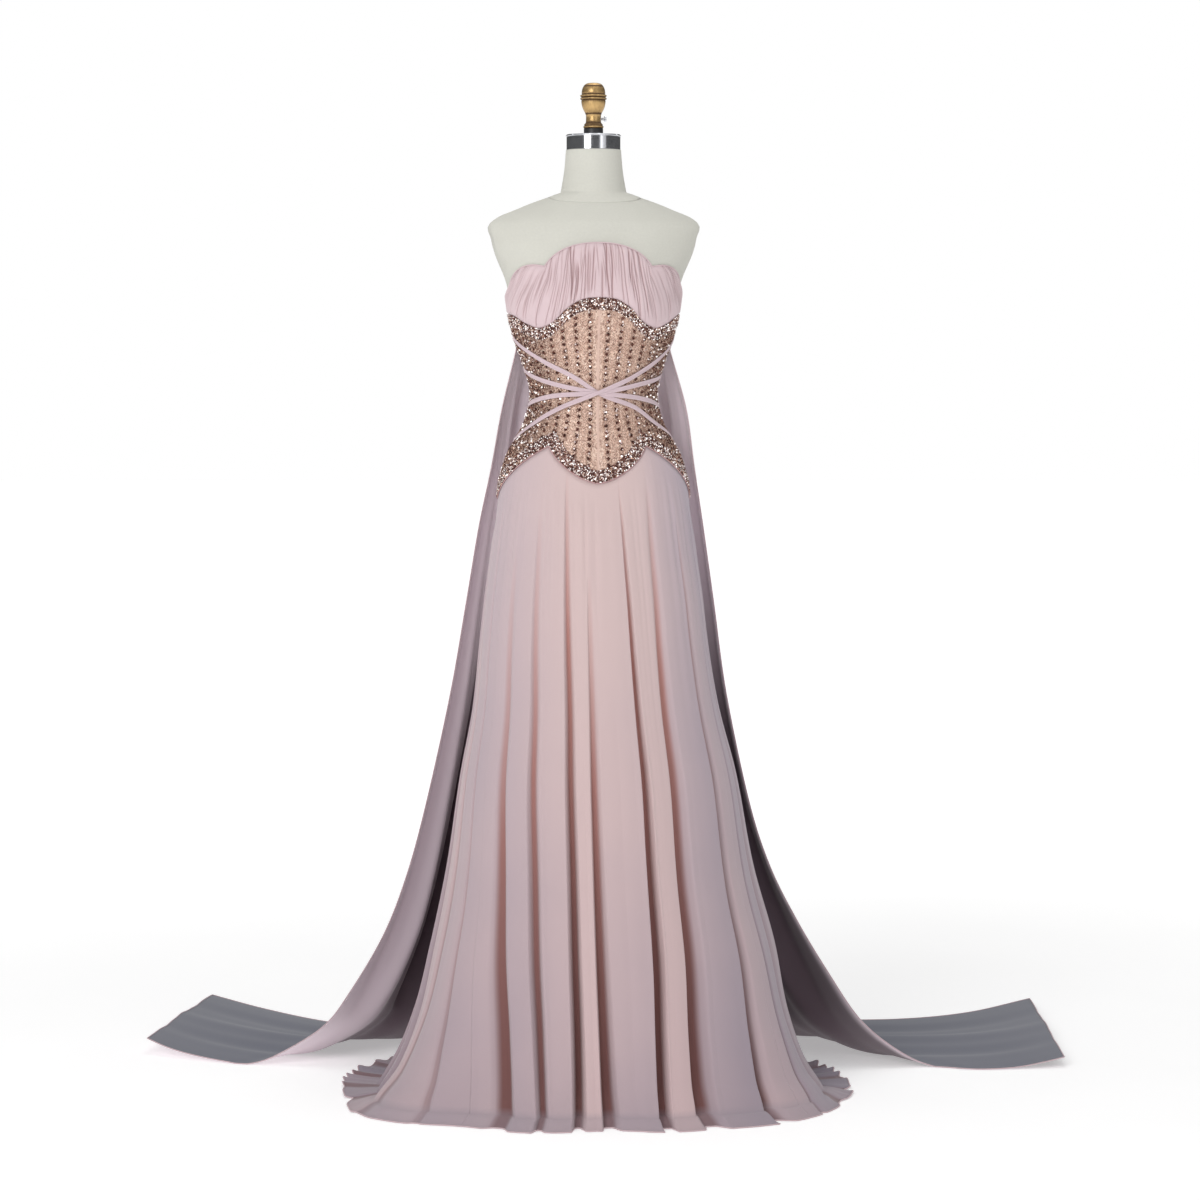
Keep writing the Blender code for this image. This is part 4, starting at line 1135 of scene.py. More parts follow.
COLUMN_FIRST, COLUMN_STEP = 6.4, 9.8  # degrees from centre front to a column, and between two
CLUSTER_PITCH, BETWEEN_PITCH, CHEVRON_PITCH, SEED_PITCH = 0.0115, 0.0024, 0.0048, 0.0025
CLUSTER = np.array([(0, 0), (16, 9), (-16, 9), (16, -10), (-16, -10), (0, 21), (0, -21)]) / 1e4
CLUSTER_SIZES, BETWEEN_SIZES = (0.0021, 0.0031), (0.0014, 0.0024)
EDGE_SIZES, CHEVRON_SIZES = (0.0017, 0.0027), (0.0014, 0.0021)
OFF_PLACE, OFF_LINE, BETWEEN_DARK = 0.0003, 0.0005, 0.6  # unevenness in metres; a share of beads
BETWEEN_OUT, EDGE_OUT, EDGE_ZIGZAG = 0.0019, 0.0036, 0.0010  # metres from a column's middle
CHEVRON_STEPS, CHEVRON_OUT, CHEVRON_RISE = np.arange(-2, 3), 0.0019, 0.0016
CLUSTER_FOOT, CHEVRON_FOOT, CHEVRON_HEAD = 0.002, -0.006, 0.004  # from a column's own ends
DENSE_FROM, DENSE_TO = 24, 58  # degrees between which the beading darkens
DENSE_SHARE, DENSE_LARGER = 0.8, 0.3  # of the chevrons' beads that turn dark; how they grow
LAST_COLUMN, ZIP_FREE = 178, 178.2  # degrees before which columns stand, and beads end
BESIDE_TRIM = 0.001  # from a column's ends to the edge bands


def placed(middle, height, move, size):
    """Angles, heights and sizes of beads that lie some metres beside a column's middle."""
    angle = np.full(height.shape, middle)
    degree = body(angle + 0.5, height) - body(angle - 0.5, height)
    return np.stack([angle + move / np.linalg.norm(degree, axis=-1), height, size])


def column_beads(side):
    """Angles, heights and sizes of a side's dark column beads, its gold edging and chevrons."""
    dark, gold, seeds = [], [], []
    for centre in np.arange(COLUMN_FIRST, LAST_COLUMN, COLUMN_STEP):
        foot = float(trim_low_top(np.array(centre))) + BESIDE_TRIM
        head = float(trim_top_low(np.array(centre))) - BESIDE_TRIM
        rows = np.arange(foot + CLUSTER_FOOT, head, CLUSTER_PITCH)[:, None]
        move = (CLUSTER[:, 0] + uneven.normal(0, OFF_PLACE, (len(rows), len(CLUSTER)))).ravel()
        rise = (rows + CLUSTER[:, 1]).ravel()
        size = uneven.uniform(*CLUSTER_SIZES, len(rise))
        dark.append(placed(centre, rise, move, size))
        rise = np.arange(foot, head, BETWEEN_PITCH)
        move = BETWEEN_OUT * np.where(np.arange(len(rise)) % 2, 1, -1)
        move = move + uneven.normal(0, OFF_LINE, len(rise))
        size = uneven.uniform(*BETWEEN_SIZES, len(rise))
        kind = uneven.uniform(size=len(rise))
        spots = placed(centre, rise, move, size)
        dark.append(spots[:, kind < BETWEEN_DARK])
        gold.append(spots[:, kind >= BETWEEN_DARK])
        for edge in (-1, 1):
            rise = np.arange(foot, head, SEED_PITCH)
            move = edge * (EDGE_OUT + EDGE_ZIGZAG * (np.arange(len(rise)) % 2))
            size = uneven.uniform(*EDGE_SIZES, len(rise))
            gold.append(placed(centre, rise, move, size))
        density = eased(centre, DENSE_FROM, DENSE_TO)
        for base in np.arange(foot + CHEVRON_FOOT, head + CHEVRON_HEAD, CHEVRON_PITCH):
            few = len(CHEVRON_STEPS)
            rise = base + np.abs(CHEVRON_STEPS) * CHEVRON_RISE + uneven.normal(0, OFF_PLACE, few)
            size = uneven.uniform(*CHEVRON_SIZES, few) * (1 + DENSE_LARGER * density)
            spots = placed(centre + COLUMN_STEP / 2, rise, CHEVRON_STEPS * CHEVRON_OUT, size)
            dense = uneven.uniform(size=few) < DENSE_SHARE * density
            dark.append(spots[:, dense])
            seeds.append(spots[:, ~dense])
    kept = []
    for group in (dark, gold, seeds):
        angle, height, size = np.concatenate(group, axis=1)
        inside = (height > trim_low_top(angle)) & (height < trim_top_low(angle))
        inside &= (angle < ZIP_FREE) & clear_of_bands(side * angle, height, size)
        kept.append(np.stack([side * angle, height, size])[:, inside])
    return kept


CRYSTAL_SHARE, CRYSTAL_SWELL = 0.075, 1.45
BEAD_OUT = BODICE_OUT + 0.0011  # how far out the middles of the bronze beads lie
for side, name in ((-1, "left"), (1, "right")):
    dark, gold, seeds = column_beads(side)
    shining = np.random.default_rng(20 + side).uniform(size=dark.shape[1]) < CRYSTAL_SHARE
    bronze, bright = dark[:, ~shining], dark[:, shining]
    strung(f"bodice_beads_bronze_{name}", CUT, *bronze[:2], BEAD_OUT, bronze[2], bronze_bead, 31)
    strung(f"bodice_crystals_{name}", ROUND, *bright[:2], BEAD_OUT + 0.0004,
           bright[2] * CRYSTAL_SWELL, crystal, 32)
    strung(f"bodice_beads_gold_{name}", CUT, *gold[:2], BEAD_OUT - 0.0003, gold[2], gold_bead, 33)
    strung(f"bodice_seeds_{name}", SEED, *seeds[:2], BEAD_OUT - 0.0004, seeds[2], gold_bead, 34)

TRIM_PITCH, TRIM_BEADED, ROW_CLOSER = 0.0022, 0.0195, 0.87  # rows lie closer than their beads
TRIM_SIZES, TRIM_FIRST, TRIM_STEP = (0.0018, 0.0031), 0.5, 0.1  # metres, degrees, degrees
OFF_ANGLE, OFF_ROW = 0.12, 0.02  # how unevenly they lie, in degrees and as a share of the width
TRIM_BEAD_OUT = BODICE_OUT + LAY_GAP + TRIM_WALL * 0.85 + 0.0006


def trim_beads(low, high, side):
    """Angles and heights of a close, uneven cover of beads on an edge band."""
    angles = np.arange(TRIM_FIRST, 180 - ZIP_CHANNEL, TRIM_STEP)
    line = laid(body, side * angles, low(angles), BODICE_OUT)
    along = np.concatenate([[0], np.cumsum(np.linalg.norm(np.diff(line, axis=0), axis=1))])
    found = []
    rows = round(TRIM_BEADED / (TRIM_PITCH * ROW_CLOSER))
    for row in range(rows):
        places = np.arange(TRIM_PITCH * (0.25 + 0.5 * (row % 2)), along[-1], TRIM_PITCH)
        angle = np.interp(places, along, angles) + uneven.normal(0, OFF_ANGLE, len(places))
        share = (row + 0.5) / rows + uneven.normal(0, OFF_ROW, len(places))
        found.append(np.stack([side * angle, low(angle) + (high(angle) - low(angle)) * share]))
    return np.concatenate(found, axis=1)


for band in TRIMS:
    for side, name in ((-1, "left"), (1, "right")):
        angle, height = trim_beads(band.low, band.high, side)
        pick = np.random.default_rng(40 + side)
        kind = pick.uniform(size=len(angle))
        size = pick.uniform(*TRIM_SIZES, len(angle))
        for start, end, look, bead, word in (
            (0.0, 0.52, bronze_bead, CUT, "bronze"),
            (0.52, 0.68, gold_bead, CUT, "gold"),
            (0.68, 1.01, crystal, CUT, "crystal"),
        ):
            some = (kind >= start) & (kind < end)
            strung(f"trim_{band.name}_{word}_{name}", bead, angle[some], height[some],
                   TRIM_BEAD_OUT, size[some], look, 50)

# ---------------------------------------------------------------- the skirt
# Five gores of matt chiffon over a plain layer of the same, cut wide so that they fall in long
# soft folds, and hemmed with a narrow rolled edge that spills a little way over the floor.

SkirtSection = namedtuple("SkirtSection", "height left right front back")
SKIRT = [
    SkirtSection(0.002, 0.386, 0.396, 0.386, 0.368),
    SkirtSection(0.062, 0.350, 0.366, 0.362, 0.344),
    SkirtSection(0.134, 0.321, 0.343, 0.338, 0.323),
    SkirtSection(0.260, 0.290, 0.320, 0.298, 0.292),
    SkirtSection(0.388, 0.262, 0.285, 0.258, 0.259),
    SkirtSection(0.570, 0.234, 0.251, 0.209, 0.217),
    SkirtSection(0.679, 0.214, 0.223, 0.182, 0.194),
    SkirtSection(0.789, 0.2030, 0.2045, 0.159, 0.174),
    SkirtSection(0.880, 0.1935, 0.1940, 0.1420, 0.158),
    SkirtSection(0.952, 0.1840, 0.1840, 0.1290, 0.145),
    SkirtSection(1.060, 0.1710, 0.1710, 0.1130, 0.130),
    SkirtSection(1.160, 0.1560, 0.1560, 0.1000, 0.112),
]
SKIRT_EASE, FLOOR_CLEAR = 0.09, 0.0005
HEM_TOP, HEM_RIPPLE, RIPPLE_MIDDLE, RIPPLE_FOLD = FLOOR_CLEAR + CLOTH_WALL, 0.009, 0.4, 0.020
FLANGE_FRONT, FLANGE_SIDE, FLANGE_BACK = 0.022, 0.062, 0.055
Flow = namedtuple("Flow", "seam half_way hem")
FLOW = [
    Flow(-180, -180, -180), Flow(-125, -124, -118), Flow(-90, -89, -77), Flow(-66, -63, -42),
    Flow(-50, -48, -27), Flow(-20, -15, -9), Flow(0, 2, 3), Flow(12, 17, 12), Flow(30, 31, 22),
    Flow(52, 53, 38), Flow(76, 78, 62), Flow(101, 101, 90), Flow(135, 135, 130),
    Flow(180, 180, 180),
]
Fold = namedtuple("Fold", "angle depth spread start")
FOLDS = [
    Fold(-80, 22, 4.8, 0.75), Fold(-69, 26, 5.0, 0.90), Fold(-50, 22, 5.4, 0.80),
    Fold(-36, 24, 5.4, 0.85), Fold(-20, 36, 6.0, 0.95), Fold(-7, 28, 5.2, 0.80),
    Fold(12, 33, 6.0, 0.95), Fold(30, 33, 6.2, 0.90), Fold(51, 27, 5.8, 0.85),
    Fold(65, 23, 5.0, 0.75), Fold(77, 26, 5.0, 0.80), Fold(89, 30, 5.0, 0.85),
    Fold(101, 24, 4.6, 0.75), Fold(113, 30, 4.8, 0.90), Fold(125, 24, 4.4, 0.80),
    Fold(137, 31, 5.0, 0.90), Fold(149, 25, 4.6, 0.80), Fold(161, 30, 4.8, 0.90),
    Fold(173, 23, 4.4, 0.80), Fold(-174, 27, 4.6, 0.85), Fold(-162, 29, 4.8, 0.90),
    Fold(-150, 24, 4.6, 0.80), Fold(-138, 31, 5.0, 0.90), Fold(-126, 25, 4.6, 0.80),
    Fold(-114, 29, 4.8, 0.85), Fold(-102, 24, 4.6, 0.75), Fold(-90, 29, 5.0, 0.85),
]
LOBE_LEVEL = 0.80  # where the mean of a panel lies between its valley and its highest line
START_EARLIER = 0.05  # the folds show from a little above the level at which the solids' start
FOLD_GROWS, GATHER_GROWS = 0.9, 0.07  # the skirt's share over which a fold, or a gather, deepens
pick = np.random.default_rng(5)
VALLEY_HALF = pick.uniform(0.3, 1.7, len(FOLDS))  # degrees of each valley's floor, on each side
SHARP_EDGE, SOFT_EDGE = 0.9, 3.6  # degrees over which a panel rises from its valleys
LEANS = np.where(pick.uniform(size=len(FOLDS)) < 0.75, 1, -1)  # 1: sharp to its right, else left
SLOPES = pick.uniform(0.10, 0.40, len(FOLDS))  # how much each panel slopes to its soft edge
LOBE_TINTS = pick.uniform(0, 1, len(FOLDS))  # how much of the lilac under-layer each one shows
FILLED = {-69: 0.20, -80: 0.35, 65: 0.25, 77: 0.45}  # valleys that the cloth nearly bridges
GATHERS = [  # short soft gathers under the bodice, which die out by a level of start
    Fold(at + pick.uniform(-2.0, 2.0), pick.uniform(0.6, 2.4), pick.uniform(1.2, 2.8),
         pick.uniform(0.45, 0.85))
    for at in np.arange(-178, 180, 6.5)
]
HEM_SMOOTHING = 0.88  # how far the folds even out over the cloth that lies on the floor
BEND_LIFT, BEND_REACH = 0.016, 0.06  # in front the cloth slopes on to its hem without a bend
Spread = namedtuple("Spread", "angle out")
HEM_SPREAD = [  # how much wider than its solid the skirt gets towards the hem, in metres
    Spread(-180, 0), Spread(-100, 0), Spread(-76, 0.012), Spread(-60, 0.055),
    Spread(-48, 0.048), Spread(-37, 0.020), Spread(-24, 0.032), Spread(-17, 0.034),
    Spread(-9, 0.018), Spread(1, 0.010), Spread(9, 0.030), Spread(18, 0.040),
    Spread(27, 0.044), Spread(35, 0.050), Spread(43, 0.050), Spread(51, 0.042),
    Spread(66, 0.020), Spread(84, 0), Spread(180, 0),
]
SPREAD_HEIGHT, SPREAD_HUNG = 0.50, 0.7  # the height where that starts; its share off the floor
HUNG_SHARE, CORNER_ANGLE, CORNER_SPREAD, CORNER_HEIGHT = 0.75, 52, 17, 0.35
PLEAT_STEP, PLEAT_LIFT, PLEAT_OUT = 5.1, 0.007, 0.004  # pleats of the cloth on the floor
PLEAT_LEAST, PLEAT_SWAY = 0.25, 47  # the flattest pleats' share; degrees from flat to full ones
PLEAT_DRIFT, DRIFT_STEP = 2.4, 13  # how unevenly the pleats are spaced round the hem
FRONT_FROM, FRONT_EASE = -0.1, 0.7  # where cloth counts as in front, as a cosine of its angle
SOFT_CREASES = [  # lesser creases between the folds
    Fold(at + pick.uniform(-2.5, 2.5), pick.uniform(0.8, 3.6), pick.uniform(1.0, 2.6),
         pick.uniform(0.35, 0.95))
    for at in np.arange(-178, 180, 6.2)
]


def flowed(seam, level):
    """The angle of the cloth that leaves the seam at an angle: folds gather to the front."""
    down = np.clip(1 - level, 0, 1)
    half_way = curve(FLOW, "seam", "half_way", seam)
    hem = curve(FLOW, "seam", "hem", seam)
    bend = 2 * (seam - 2 * half_way + hem)
    return seam + (hem - seam - bend) * down + bend * down**2


def depths(table, level):
    """How deep each fold of a table is at a level, in metres, with a row for each fold."""
    down = np.clip(1 - level, 0, 1)[None]
    deep, start = (np.array([getattr(fold, key) for fold in table]) for key in ("depth", "start"))
    reach = np.clip((down - (1 - START_EARLIER - start[:, None])) / FOLD_GROWS, 0, 1)
    return deep[:, None] / 1000 * (0.5 * reach**0.65 + 0.5 * eased(reach) ** 0.8)


def lobes(seam, level):
    """The panels of cloth between the folds' valleys: their depth, form and tint.

    The form is 0 in a valley and 1 at a panel's highest line.
    """
    table = sorted(FOLDS, key=lambda fold: fold.angle)
    angles = np.array([fold.angle for fold in table], float)
    full = np.array([fold.depth / 1000 for fold in table])
    left = (np.searchsorted(angles, seam, side="right") - 1) % len(table)
    right = (left + 1) % len(table)
    span = (angles[right] - angles[left]) % 360
    past = (seam - angles[left]) % 360
    share = past / span
    kept = np.array([FILLED.get(fold.angle, 1.0) for fold in table])
    deep = depths(table, level) * kept[:, None]
    point = np.arange(len(seam))
    deep_left, deep_right = deep[left, point], deep[right, point]
    floor_left = VALLEY_HALF[left] * deep_left / full[left]
    floor_right = VALLEY_HALF[right] * deep_right / full[right]
    sharp_right = LEANS[left] > 0
    rise_left = np.where(sharp_right, SOFT_EDGE, SHARP_EDGE)
    rise_right = np.where(sharp_right, SHARP_EDGE, SOFT_EDGE)
    form = eased((past - floor_left) / rise_left) * eased((span - past - floor_right) / rise_right)
    form = form * (1 - SLOPES[left] * np.where(sharp_right, 1 - share, share))
    amount = deep_left * (1 - share) + deep_right * share
    return amount, form, LOBE_TINTS[left]


def skirt_fold(seam, level):
    """How far in or out the cloth lies: panels and valleys, and the lesser creases on them."""
    shape = np.broadcast(seam, level).shape
    seam, level = (np.broadcast_to(a, shape).ravel() for a in (seam, level))

    def off(fold):
        return (seam - fold.angle + 180) % 360 - 180

    amount, form, _ = lobes(seam, level)
    move = amount * (form - LOBE_LEVEL)
    for fold, deep in zip(SOFT_CREASES, depths(SOFT_CREASES, level), strict=True):
        move -= deep * bell(off(fold) / fold.spread, 1.4)
    down = np.clip(1 - level, 0, 1)
    for fold in GATHERS:
        grown = eased(down / GATHER_GROWS) * (1 - eased(down / (1 - fold.start) - 0.3))
        move -= fold.depth / 1000 * grown * bell(off(fold) / fold.spread)
    return move.reshape(shape)


def skirt(seam, level):
    """The skirt: level 1 is its seam, 0 is where it meets the floor, -1 is the hem's edge."""
    angle = flowed(seam, level)
    turn = np.radians(angle)
    top = low_edge(seam) - SEAM_GAP / 2 * steepness(low_edge, seam)
    height = HEM_TOP + (top - HEM_TOP) * np.clip(level, 0, None)
    side = either(np.sin(turn) > 0, SKIRT, "right", "left", height)
    forward = np.cos(turn)
    depth = either(forward > 0, SKIRT, "front", "back", height)
    out = np.clip(-level, 0, None)
    in_front = eased((forward - FRONT_FROM) / FRONT_EASE)
    fold = skirt_fold(seam, level) * (1 - HEM_SMOOTHING * out * (1 - in_front))
    rear = np.where(forward > 0, FLANGE_FRONT, FLANGE_BACK)
    low = np.clip(1 - height / SPREAD_HEIGHT, 0, 1) ** 2
    spread = curve(HEM_SPREAD, "angle", "out", angle)
    spread = spread * (SPREAD_HUNG * low + (1 - SPREAD_HUNG) * out)
    drift = PLEAT_DRIFT * np.sin(math.radians(DRIFT_STEP) * seam)
    pleat = np.sin(math.tau * seam / PLEAT_STEP + drift)
    flange = FLANGE_SIDE + (rear - FLANGE_SIDE) * forward**2
    hung = HUNG_SHARE * bell((np.abs(angle) - CORNER_ANGLE) / CORNER_SPREAD)
    slope = np.clip(1 - height / CORNER_HEIGHT, 0, 1) ** 1.5
    flange = flange * ((1 - hung) * out + hung * slope) + spread
    swing = np.sin(np.pi * seam / PLEAT_SWAY) ** 2
    full = out * (1 - in_front) * (PLEAT_LEAST + (1 - PLEAT_LEAST) * swing)
    flange = flange + PLEAT_OUT * pleat * full
    lift = HEM_RIPPLE * out * np.clip(RIPPLE_MIDDLE + fold / RIPPLE_FOLD, 0, 1)
    lift = lift * (1 - in_front) + PLEAT_LIFT * (1 + pleat) / 2 * full
    near_floor = np.where(level > 0, 1 - level / BEND_REACH, 1 - out)
    lift = lift + BEND_LIFT * in_front * eased(near_floor)
    hangs = stack(
        (side + fold + flange) * np.sin(turn), -(depth + fold + flange) * forward, height + lift
    )
    snug = laid(body, angle, height, BODICE_OUT)
    away = eased((top - height) / SKIRT_EASE)[..., None]
    return snug * (1 - away) + hangs * away


LEFT_SHARE = 0.78  # the left side of the skirt shows less lilac-grey than the right, as less painted shade
HEM_SHARE = 0.07  # the rows' share that lies on the floor
HEM_BAND, HEM_BAND_EDGE = 0.020, 0.001  # the doubled hem's height, and its soft edge
RECESS_FORM, RECESS_DEPTH = 0.45, 0.013  # below this form, and from this depth, a valley is painted dark, as its shade
SKIRT_ROWS, SKIRT_THICK = 100, 0.0010


def skirt_level(up):
    return np.where(up < HEM_SHARE, up / HEM_SHARE - 1, (up - HEM_SHARE) / (1 - HEM_SHARE))


def off_floor(points):
    """The points, none of them lower than the top of cloth that lies on the floor."""
    points[:, 2] = np.maximum(points[:, 2], HEM_TOP)
    return points


def gore_place(start, end):
    """A gore of the skirt, with what its two layers show and the shade painted on it at each
    point.
    """

    def place(across, up):
        seam = start + (end - start) * across
        level = skirt_level(up)
        points = off_floor(laid(skirt, seam, level, 0))
        amount, form, tint = lobes(seam, level)
        valley_shade = (1 - form / RECESS_FORM).clip(0, 1) * np.clip(amount / RECESS_DEPTH, 0, 1)
        across_body = np.sin(np.radians(flowed(seam, level)))
        # how far the cloth faces sideways: the sides are painted with shade
        side_shade_and_layer = np.where(across_body > 0, across_body, -LEFT_SHARE * across_body)
        marks = {
            "valley_shade": valley_shade,
            "side": side_shade_and_layer,
            "tint": tint,
            "level": np.clip(level, 0, 1),
            "hem": 1 - eased((points[:, 2] - HEM_BAND) / HEM_BAND_EDGE),
        }
        return points, marks

    return place


SIDE_SHOWS, LOW_SHOWS, TINT_SHOWS = 0.75, 0.20, 0.56  # how much lilac-grey shows: on the sides, partly as painted shade, low down, and on each panel


def skirt_look(wire):
    """Pink where the top layer lies on the one below, lilac-grey where it hangs free and on the
    sides as painted shade; darker towards the hem, with painted shade in the valleys.
    """
    side, level = wire.mark("side"), wire.mark("level")
    valley_shade, hem = wire.mark("valley_shade"), wire.mark("hem")
    cloud = wire.noise(5.0)
    lower = (1 - level) ** 0.7 * (wire.mark("tint") - 0.5) * TINT_SHOWS
    # the sides turn lilac-grey partly as painted shade, where they face away from the light
    hanging = (side ** 1.6) * SIDE_SHOWS + (1 - level) ** 3.0 * LOW_SHOWS
    free = (hanging + cloud * 0.2 - 0.1 + lower).within(0, 1)
    pink = (1 - level).mixed(colour(203, 181, 179), colour(199, 174, 175))
    lilac = (1 - level).mixed(colour(167, 157, 171), colour(141, 132, 145))
    tone = free.mixed(pink, lilac)
    # the valleys' warm dark colour is painted shade, darkest low down
    depth = level.within(0.0, 0.9).mixed(colour(112, 72, 68), colour(186, 134, 126))
    deep = (valley_shade * 0.95).mixed(tone, depth)
    return {
        "Base Color": (hem * 0.35).mixed(deep, colour(150, 140, 150)),
        "Normal": crepe(wire, 0.3),
    }


skirt_chiffon = finish("skirt_chiffon", chiffon_fixed, skirt_look)
Gore = namedtuple("Gore", "name start end columns flat area")
GORES = [
    Gore("skirt_front", -60, 60, 460, (0.92, 1.20), 0.702),
    Gore("skirt_side_right", 60, 120, 210, (0.58, 1.18), 0.356),
    Gore("skirt_back_right", 120, 180, 210, (0.60, 1.21), 0.414),
    Gore("skirt_side_left", -120, -60, 210, (0.66, 1.18), 0.381),
    Gore("skirt_back_left", -180, -120, 210, (0.58, 1.21), 0.404),
]
for gore in GORES:
    piece = cloth(
        f"{gore.name}_chiffon", gore.columns, SKIRT_ROWS, gore_place(gore.start, gore.end),
        gore.flat, [skirt_chiffon], SKIRT_THICK,
    )
    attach(piece, "gown")
    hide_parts(gore.name)
HEM_R, HEM_SUNK = 0.0012, 0.0004
hem_path = off_floor(laid(skirt, np.linspace(-180, 180, 1081), -1.0, 0))
rolled("skirt_rolled_hem", hem_path - np.array([0, 0, HEM_SUNK]), HEM_R, rolled_hem,
       6)

# ---------------------------------------------------------------- the two floating panels
# Long panels of single chiffon, sewn to the back of the bodice, which hang clear of the skirt,
# sweep outwards and lie on the floor with square, rolled ends. Their undersides are in shade.

STREAMER_TOP, STREAMER_SEWN, STREAMER_START, STREAMER_END = 1.334, 0.014, 96, 152
STREAMER_FOLDS, STREAMER_FLAT = 2.5, 0.20
RIPPLES, RIPPLE_SHARE = 6.3, 0.36  # lesser folds: how many, and their share of the folds' depth
FLOOR_EVEN = 0.55  # how much of its folds a panel loses where it lies on the floor
Row = namedtuple("Row", "front_x front_y front_z back_x back_y back_z bulge fold")
STREAMER_LEFT = [
    Row(-0.1585, 0.059, 1.210, -0.078, 0.128, 1.215, 0.016, 0.006),
    Row(-0.1770, 0.066, 1.107, -0.082, 0.153, 1.110, 0.020, 0.009),
    Row(-0.1990, 0.078, 1.000, -0.088, 0.176, 1.000, 0.024, 0.012),
    Row(-0.2220, 0.090, 0.860, -0.094, 0.206, 0.860, 0.028, 0.014),
    Row(-0.2496, 0.107, 0.697, -0.102, 0.245, 0.690, 0.032, 0.017),
    Row(-0.2917, 0.131, 0.500, -0.114, 0.303, 0.490, 0.036, 0.020),
    Row(-0.3272, 0.149, 0.364, -0.126, 0.350, 0.340, 0.038, 0.024),
    Row(-0.3693, 0.173, 0.250, -0.142, 0.396, 0.210, 0.036, 0.026),
    Row(-0.4313, 0.198, 0.140, -0.160, 0.440, 0.105, 0.030, 0.024),
    Row(-0.4811, 0.215, 0.074, -0.178, 0.478, 0.045, 0.020, 0.018),
    Row(-0.5666, 0.235, 0.019, -0.200, 0.512, 0.008, 0.010, 0.012),
    Row(-0.6200, 0.245, 0.002, -0.240, 0.545, 0.002, 0.004, 0.010),
    Row(-0.6605, 0.264, 0.004, -0.360, 0.600, 0.002, 0.000, 0.009),
    Row(-0.7200, 0.302, 0.010, -0.475, 0.680, 0.004, 0.000, 0.008),
    Row(-0.7680, 0.340, 0.018, -0.590, 0.810, 0.008, 0.000, 0.006),
    Row(-0.8067, 0.372, 0.030, -0.694, 0.944, 0.015, 0.000, 0.003),
]
STREAMER_RIGHT = [
    Row(0.1683, 0.030, 1.210, 0.080, 0.126, 1.215, 0.016, 0.006),
    Row(0.1837, 0.036, 1.107, 0.084, 0.152, 1.110, 0.020, 0.009),
    Row(0.2010, 0.046, 1.000, 0.090, 0.176, 1.000, 0.024, 0.012),
    Row(0.2223, 0.058, 0.860, 0.097, 0.207, 0.860, 0.028, 0.014),
    Row(0.2465, 0.070, 0.697, 0.106, 0.247, 0.690, 0.032, 0.017),
    Row(0.2901, 0.086, 0.500, 0.119, 0.306, 0.490, 0.036, 0.020),
    Row(0.3300, 0.100, 0.380, 0.134, 0.352, 0.350, 0.038, 0.024),
    Row(0.3800, 0.108, 0.280, 0.152, 0.400, 0.220, 0.036, 0.026),
    Row(0.4400, 0.114, 0.180, 0.172, 0.445, 0.110, 0.030, 0.024),
    Row(0.5029, 0.115, 0.088, 0.195, 0.485, 0.050, 0.020, 0.018),
    Row(0.5743, 0.110, 0.030, 0.225, 0.530, 0.010, 0.010, 0.012),
    Row(0.6396, 0.105, 0.002, 0.290, 0.575, 0.002, 0.004, 0.010),
    Row(0.7092, 0.075, 0.002, 0.450, 0.615, 0.002, 0.000, 0.009),
    Row(0.7800, 0.074, 0.004, 0.650, 0.605, 0.003, 0.000, 0.008),
    Row(0.8350, 0.079, 0.012, 0.800, 0.640, 0.008, 0.000, 0.006),
    Row(0.8753, 0.084, 0.020, 0.949, 0.753, 0.015, 0.000, 0.003),
]


def streamer_grid(side, rows, share, down):
    """Points of a panel: share runs from its front edge to its back one, down from its top."""
    angles = side * (STREAMER_START + (STREAMER_END - STREAMER_START) * share)
    out = BODICE_OUT + 2 * LAY_GAP + CLOTH_WALL / 2
    knots = [laid(body, angles, height, out)
             for height in (STREAMER_TOP, STREAMER_TOP - STREAMER_SEWN)]
    for row in rows:
        front = np.array([row.front_x, row.front_y, row.front_z])
        back = np.array([row.back_x, row.back_y, row.back_z])
        chord = back - front
        outward = np.array([side * chord[1], -side * chord[0], 0])
        outward /= np.linalg.norm(outward)
        flat = eased(1 - (front[2] + back[2]) / STREAMER_FLAT)
        way = outward * (1 - flat) + np.array([0, 0, 1]) * flat
        hump = row.bulge * 4 * share * (1 - share)
        wave = np.sin(math.tau * STREAMER_FOLDS * share) * np.minimum(share * 4, 1)
        ripple = np.sin(math.tau * RIPPLES * share + row.front_z * 3) * np.sin(math.pi * share)
        wave = (wave + RIPPLE_SHARE * ripple) * (1 - FLOOR_EVEN * flat)
        move = hump + row.fold * (wave + flat * (1 - np.cos(math.tau * share)) * 0.5)
        knots.append(front + chord * share[:, None] + way * move[:, None])
    at = down * (len(knots) - 1)
    return spline(np.arange(len(knots)), np.array(knots), at)


STREAMER_COLUMNS, STREAMER_ROWS, STREAMER_THICK, STREAMER_HEM_R = 90, 190, 0.0010, 0.0011
SHADE_TOP, SHADE_DEPTH = 1.08, 0.55  # the inner face is in shade from its middle down
SHADE_FROM, SHADE_OVER = {-1: 0.16, 1: -0.02}, {-1: 0.26, 1: 0.08}  # shares across each panel


def streamer_place(side, rows):
    """A floating panel, and how much of each point's inner face is in shade."""

    def place(across, up):
        columns = np.linspace(0, 1, STREAMER_COLUMNS + 1)
        share = columns if side > 0 else 1 - columns
        levels = 1 - np.linspace(0, 1, STREAMER_ROWS + 1)
        points = off_floor(streamer_grid(side, rows, share, levels).reshape(-1, 3))
        past_edge = np.broadcast_to(share, (STREAMER_ROWS + 1, len(share))).ravel()
        down = eased((SHADE_TOP - points[:, 2]) / SHADE_DEPTH)
        inside = eased((past_edge - SHADE_FROM[side]) / SHADE_OVER[side])
        return points, {"shade": down * inside, "height": points[:, 2]}

    return place


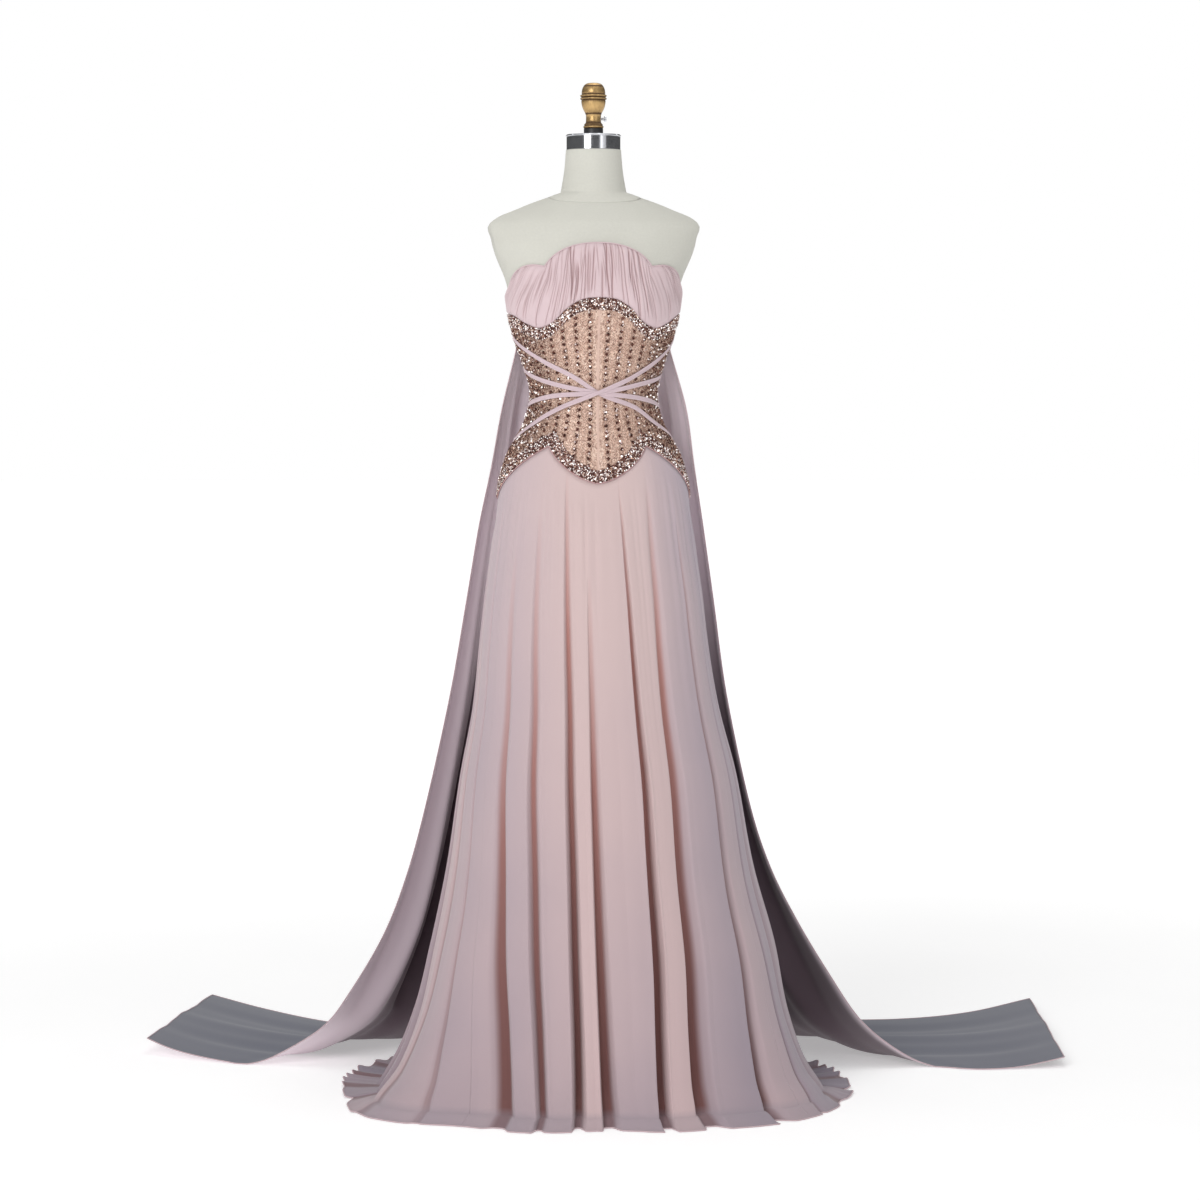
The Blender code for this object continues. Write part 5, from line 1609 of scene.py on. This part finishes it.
def streamer_look(wire):
    """The outer face: dusty lilac where it hangs, as painted light coming through it, and darker
    slate where it lies on the floor, as painted shade.
    """
    low = 1 - wire.mark("height").within(-0.02, 0.55)
    cloud = wire.noise(6.0)
    hung = cloud.mixed(colour(186, 172, 178), colour(174, 160, 168))
    return {
        # lilac above and slate below are painted light and shade on one cloth
        "Base Color": low.mixed(hung, colour(106, 108, 119)),
        "Normal": crepe(wire, 0.3),
    }


SEEN_THROUGH = (0.082, 0.068, 0.076)  # the light behind that comes through the single layer, painted as a glow


def streamer_inner_look(wire):
    """The face towards the skirt: painted pale along its front edge, as light falls there, and
    dark mauve in its depth, as painted shade.
    """
    cloud = wire.noise(6.0)
    deep = cloud.mixed(colour(112, 97, 105), colour(100, 86, 94))
    shade = wire.mark("shade")
    return {
        "Base Color": shade.mixed(colour(216, 202, 209), deep),
        "Emission Color": shade.mixed(SEEN_THROUGH, (0, 0, 0)),
        "Normal": crepe(wire, 0.3),
    }


streamer_chiffon = finish("streamer_chiffon", chiffon_fixed, streamer_look)
streamer_shade = finish(
    "streamer_chiffon_shaded", chiffon_fixed | {"Emission Strength": 1.0}, streamer_inner_look
)
Streamer = namedtuple("Streamer", "name side rows flat area")
STREAMERS = [
    Streamer("streamer_left", -1, STREAMER_LEFT, (0.58, 1.95), 0.624),
    Streamer("streamer_right", 1, STREAMER_RIGHT, (0.67, 1.98), 0.734),
]
for panel in STREAMERS:
    piece = cloth(
        f"{panel.name}_chiffon", STREAMER_COLUMNS, STREAMER_ROWS,
        streamer_place(panel.side, panel.rows), panel.flat, [streamer_chiffon, streamer_shade],
        STREAMER_THICK,
    )
    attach(piece, "gown")
    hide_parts(panel.name)
    line = np.linspace(0, 1, 260)
    front, back = (
        streamer_grid(panel.side, panel.rows, np.array([at]), line)[:, 0] for at in (0.0, 1.0)
    )
    end = streamer_grid(panel.side, panel.rows, np.linspace(0, 1, 80), np.array([1.0]))[0]
    round_the_edge = off_floor(np.concatenate([front, end[1:-1], back[::-1]]))
    hem = rolled(f"{panel.name}_rolled_hem", round_the_edge, STREAMER_HEM_R, rolled_hem,
                 6)

# ---------------------------------------------------------------- the zip
# A short metal zip down the centre back: two rows of teeth, closed, with the slider at the top
# and its tab hanging on a bail. The slider and the tab keep their solids.


def zip_look(wire):
    scratches = wire.noise(900.0, 3.0)
    return {
        "Base Color": scratches.mixed(colour(206, 190, 178), colour(232, 220, 208)),
        "Roughness": 0.22 + scratches * 0.18,
    }


zip_metal = finish("zip_metal", {"Metallic": 1.0}, zip_look)
repaint(("zip_slider", "zip_tab"), zip_metal)
TOOTH_PITCH, TOOTH = 0.0016, (0.0022, 0.0010, 0.0008)
TOOTH_ASIDE, TOOTH_OUT, ZIP_FROM, ZIP_TOP = 0.0009, 0.0006, 0.002, 1.372
shape = bmesh.new()
centre_back = np.array(180.0)
tooth_heights = np.arange(float(bodice_low(centre_back)) + ZIP_FROM, ZIP_TOP, TOOTH_PITCH)
for k, height in enumerate(tooth_heights):
    made = bmesh.ops.create_cube(shape, size=1.0)
    across = TOOTH_ASIDE if k % 2 else -TOOTH_ASIDE
    at_back = body(centre_back, np.array(height))[1] + BODICE_OUT + TOOTH_OUT
    bmesh.ops.scale(shape, verts=made["verts"], vec=TOOTH)
    bmesh.ops.translate(shape, verts=made["verts"], vec=(across, at_back, height))
hard_piece("zip_teeth", meshed("zip_teeth", shape), zip_metal, "gown")
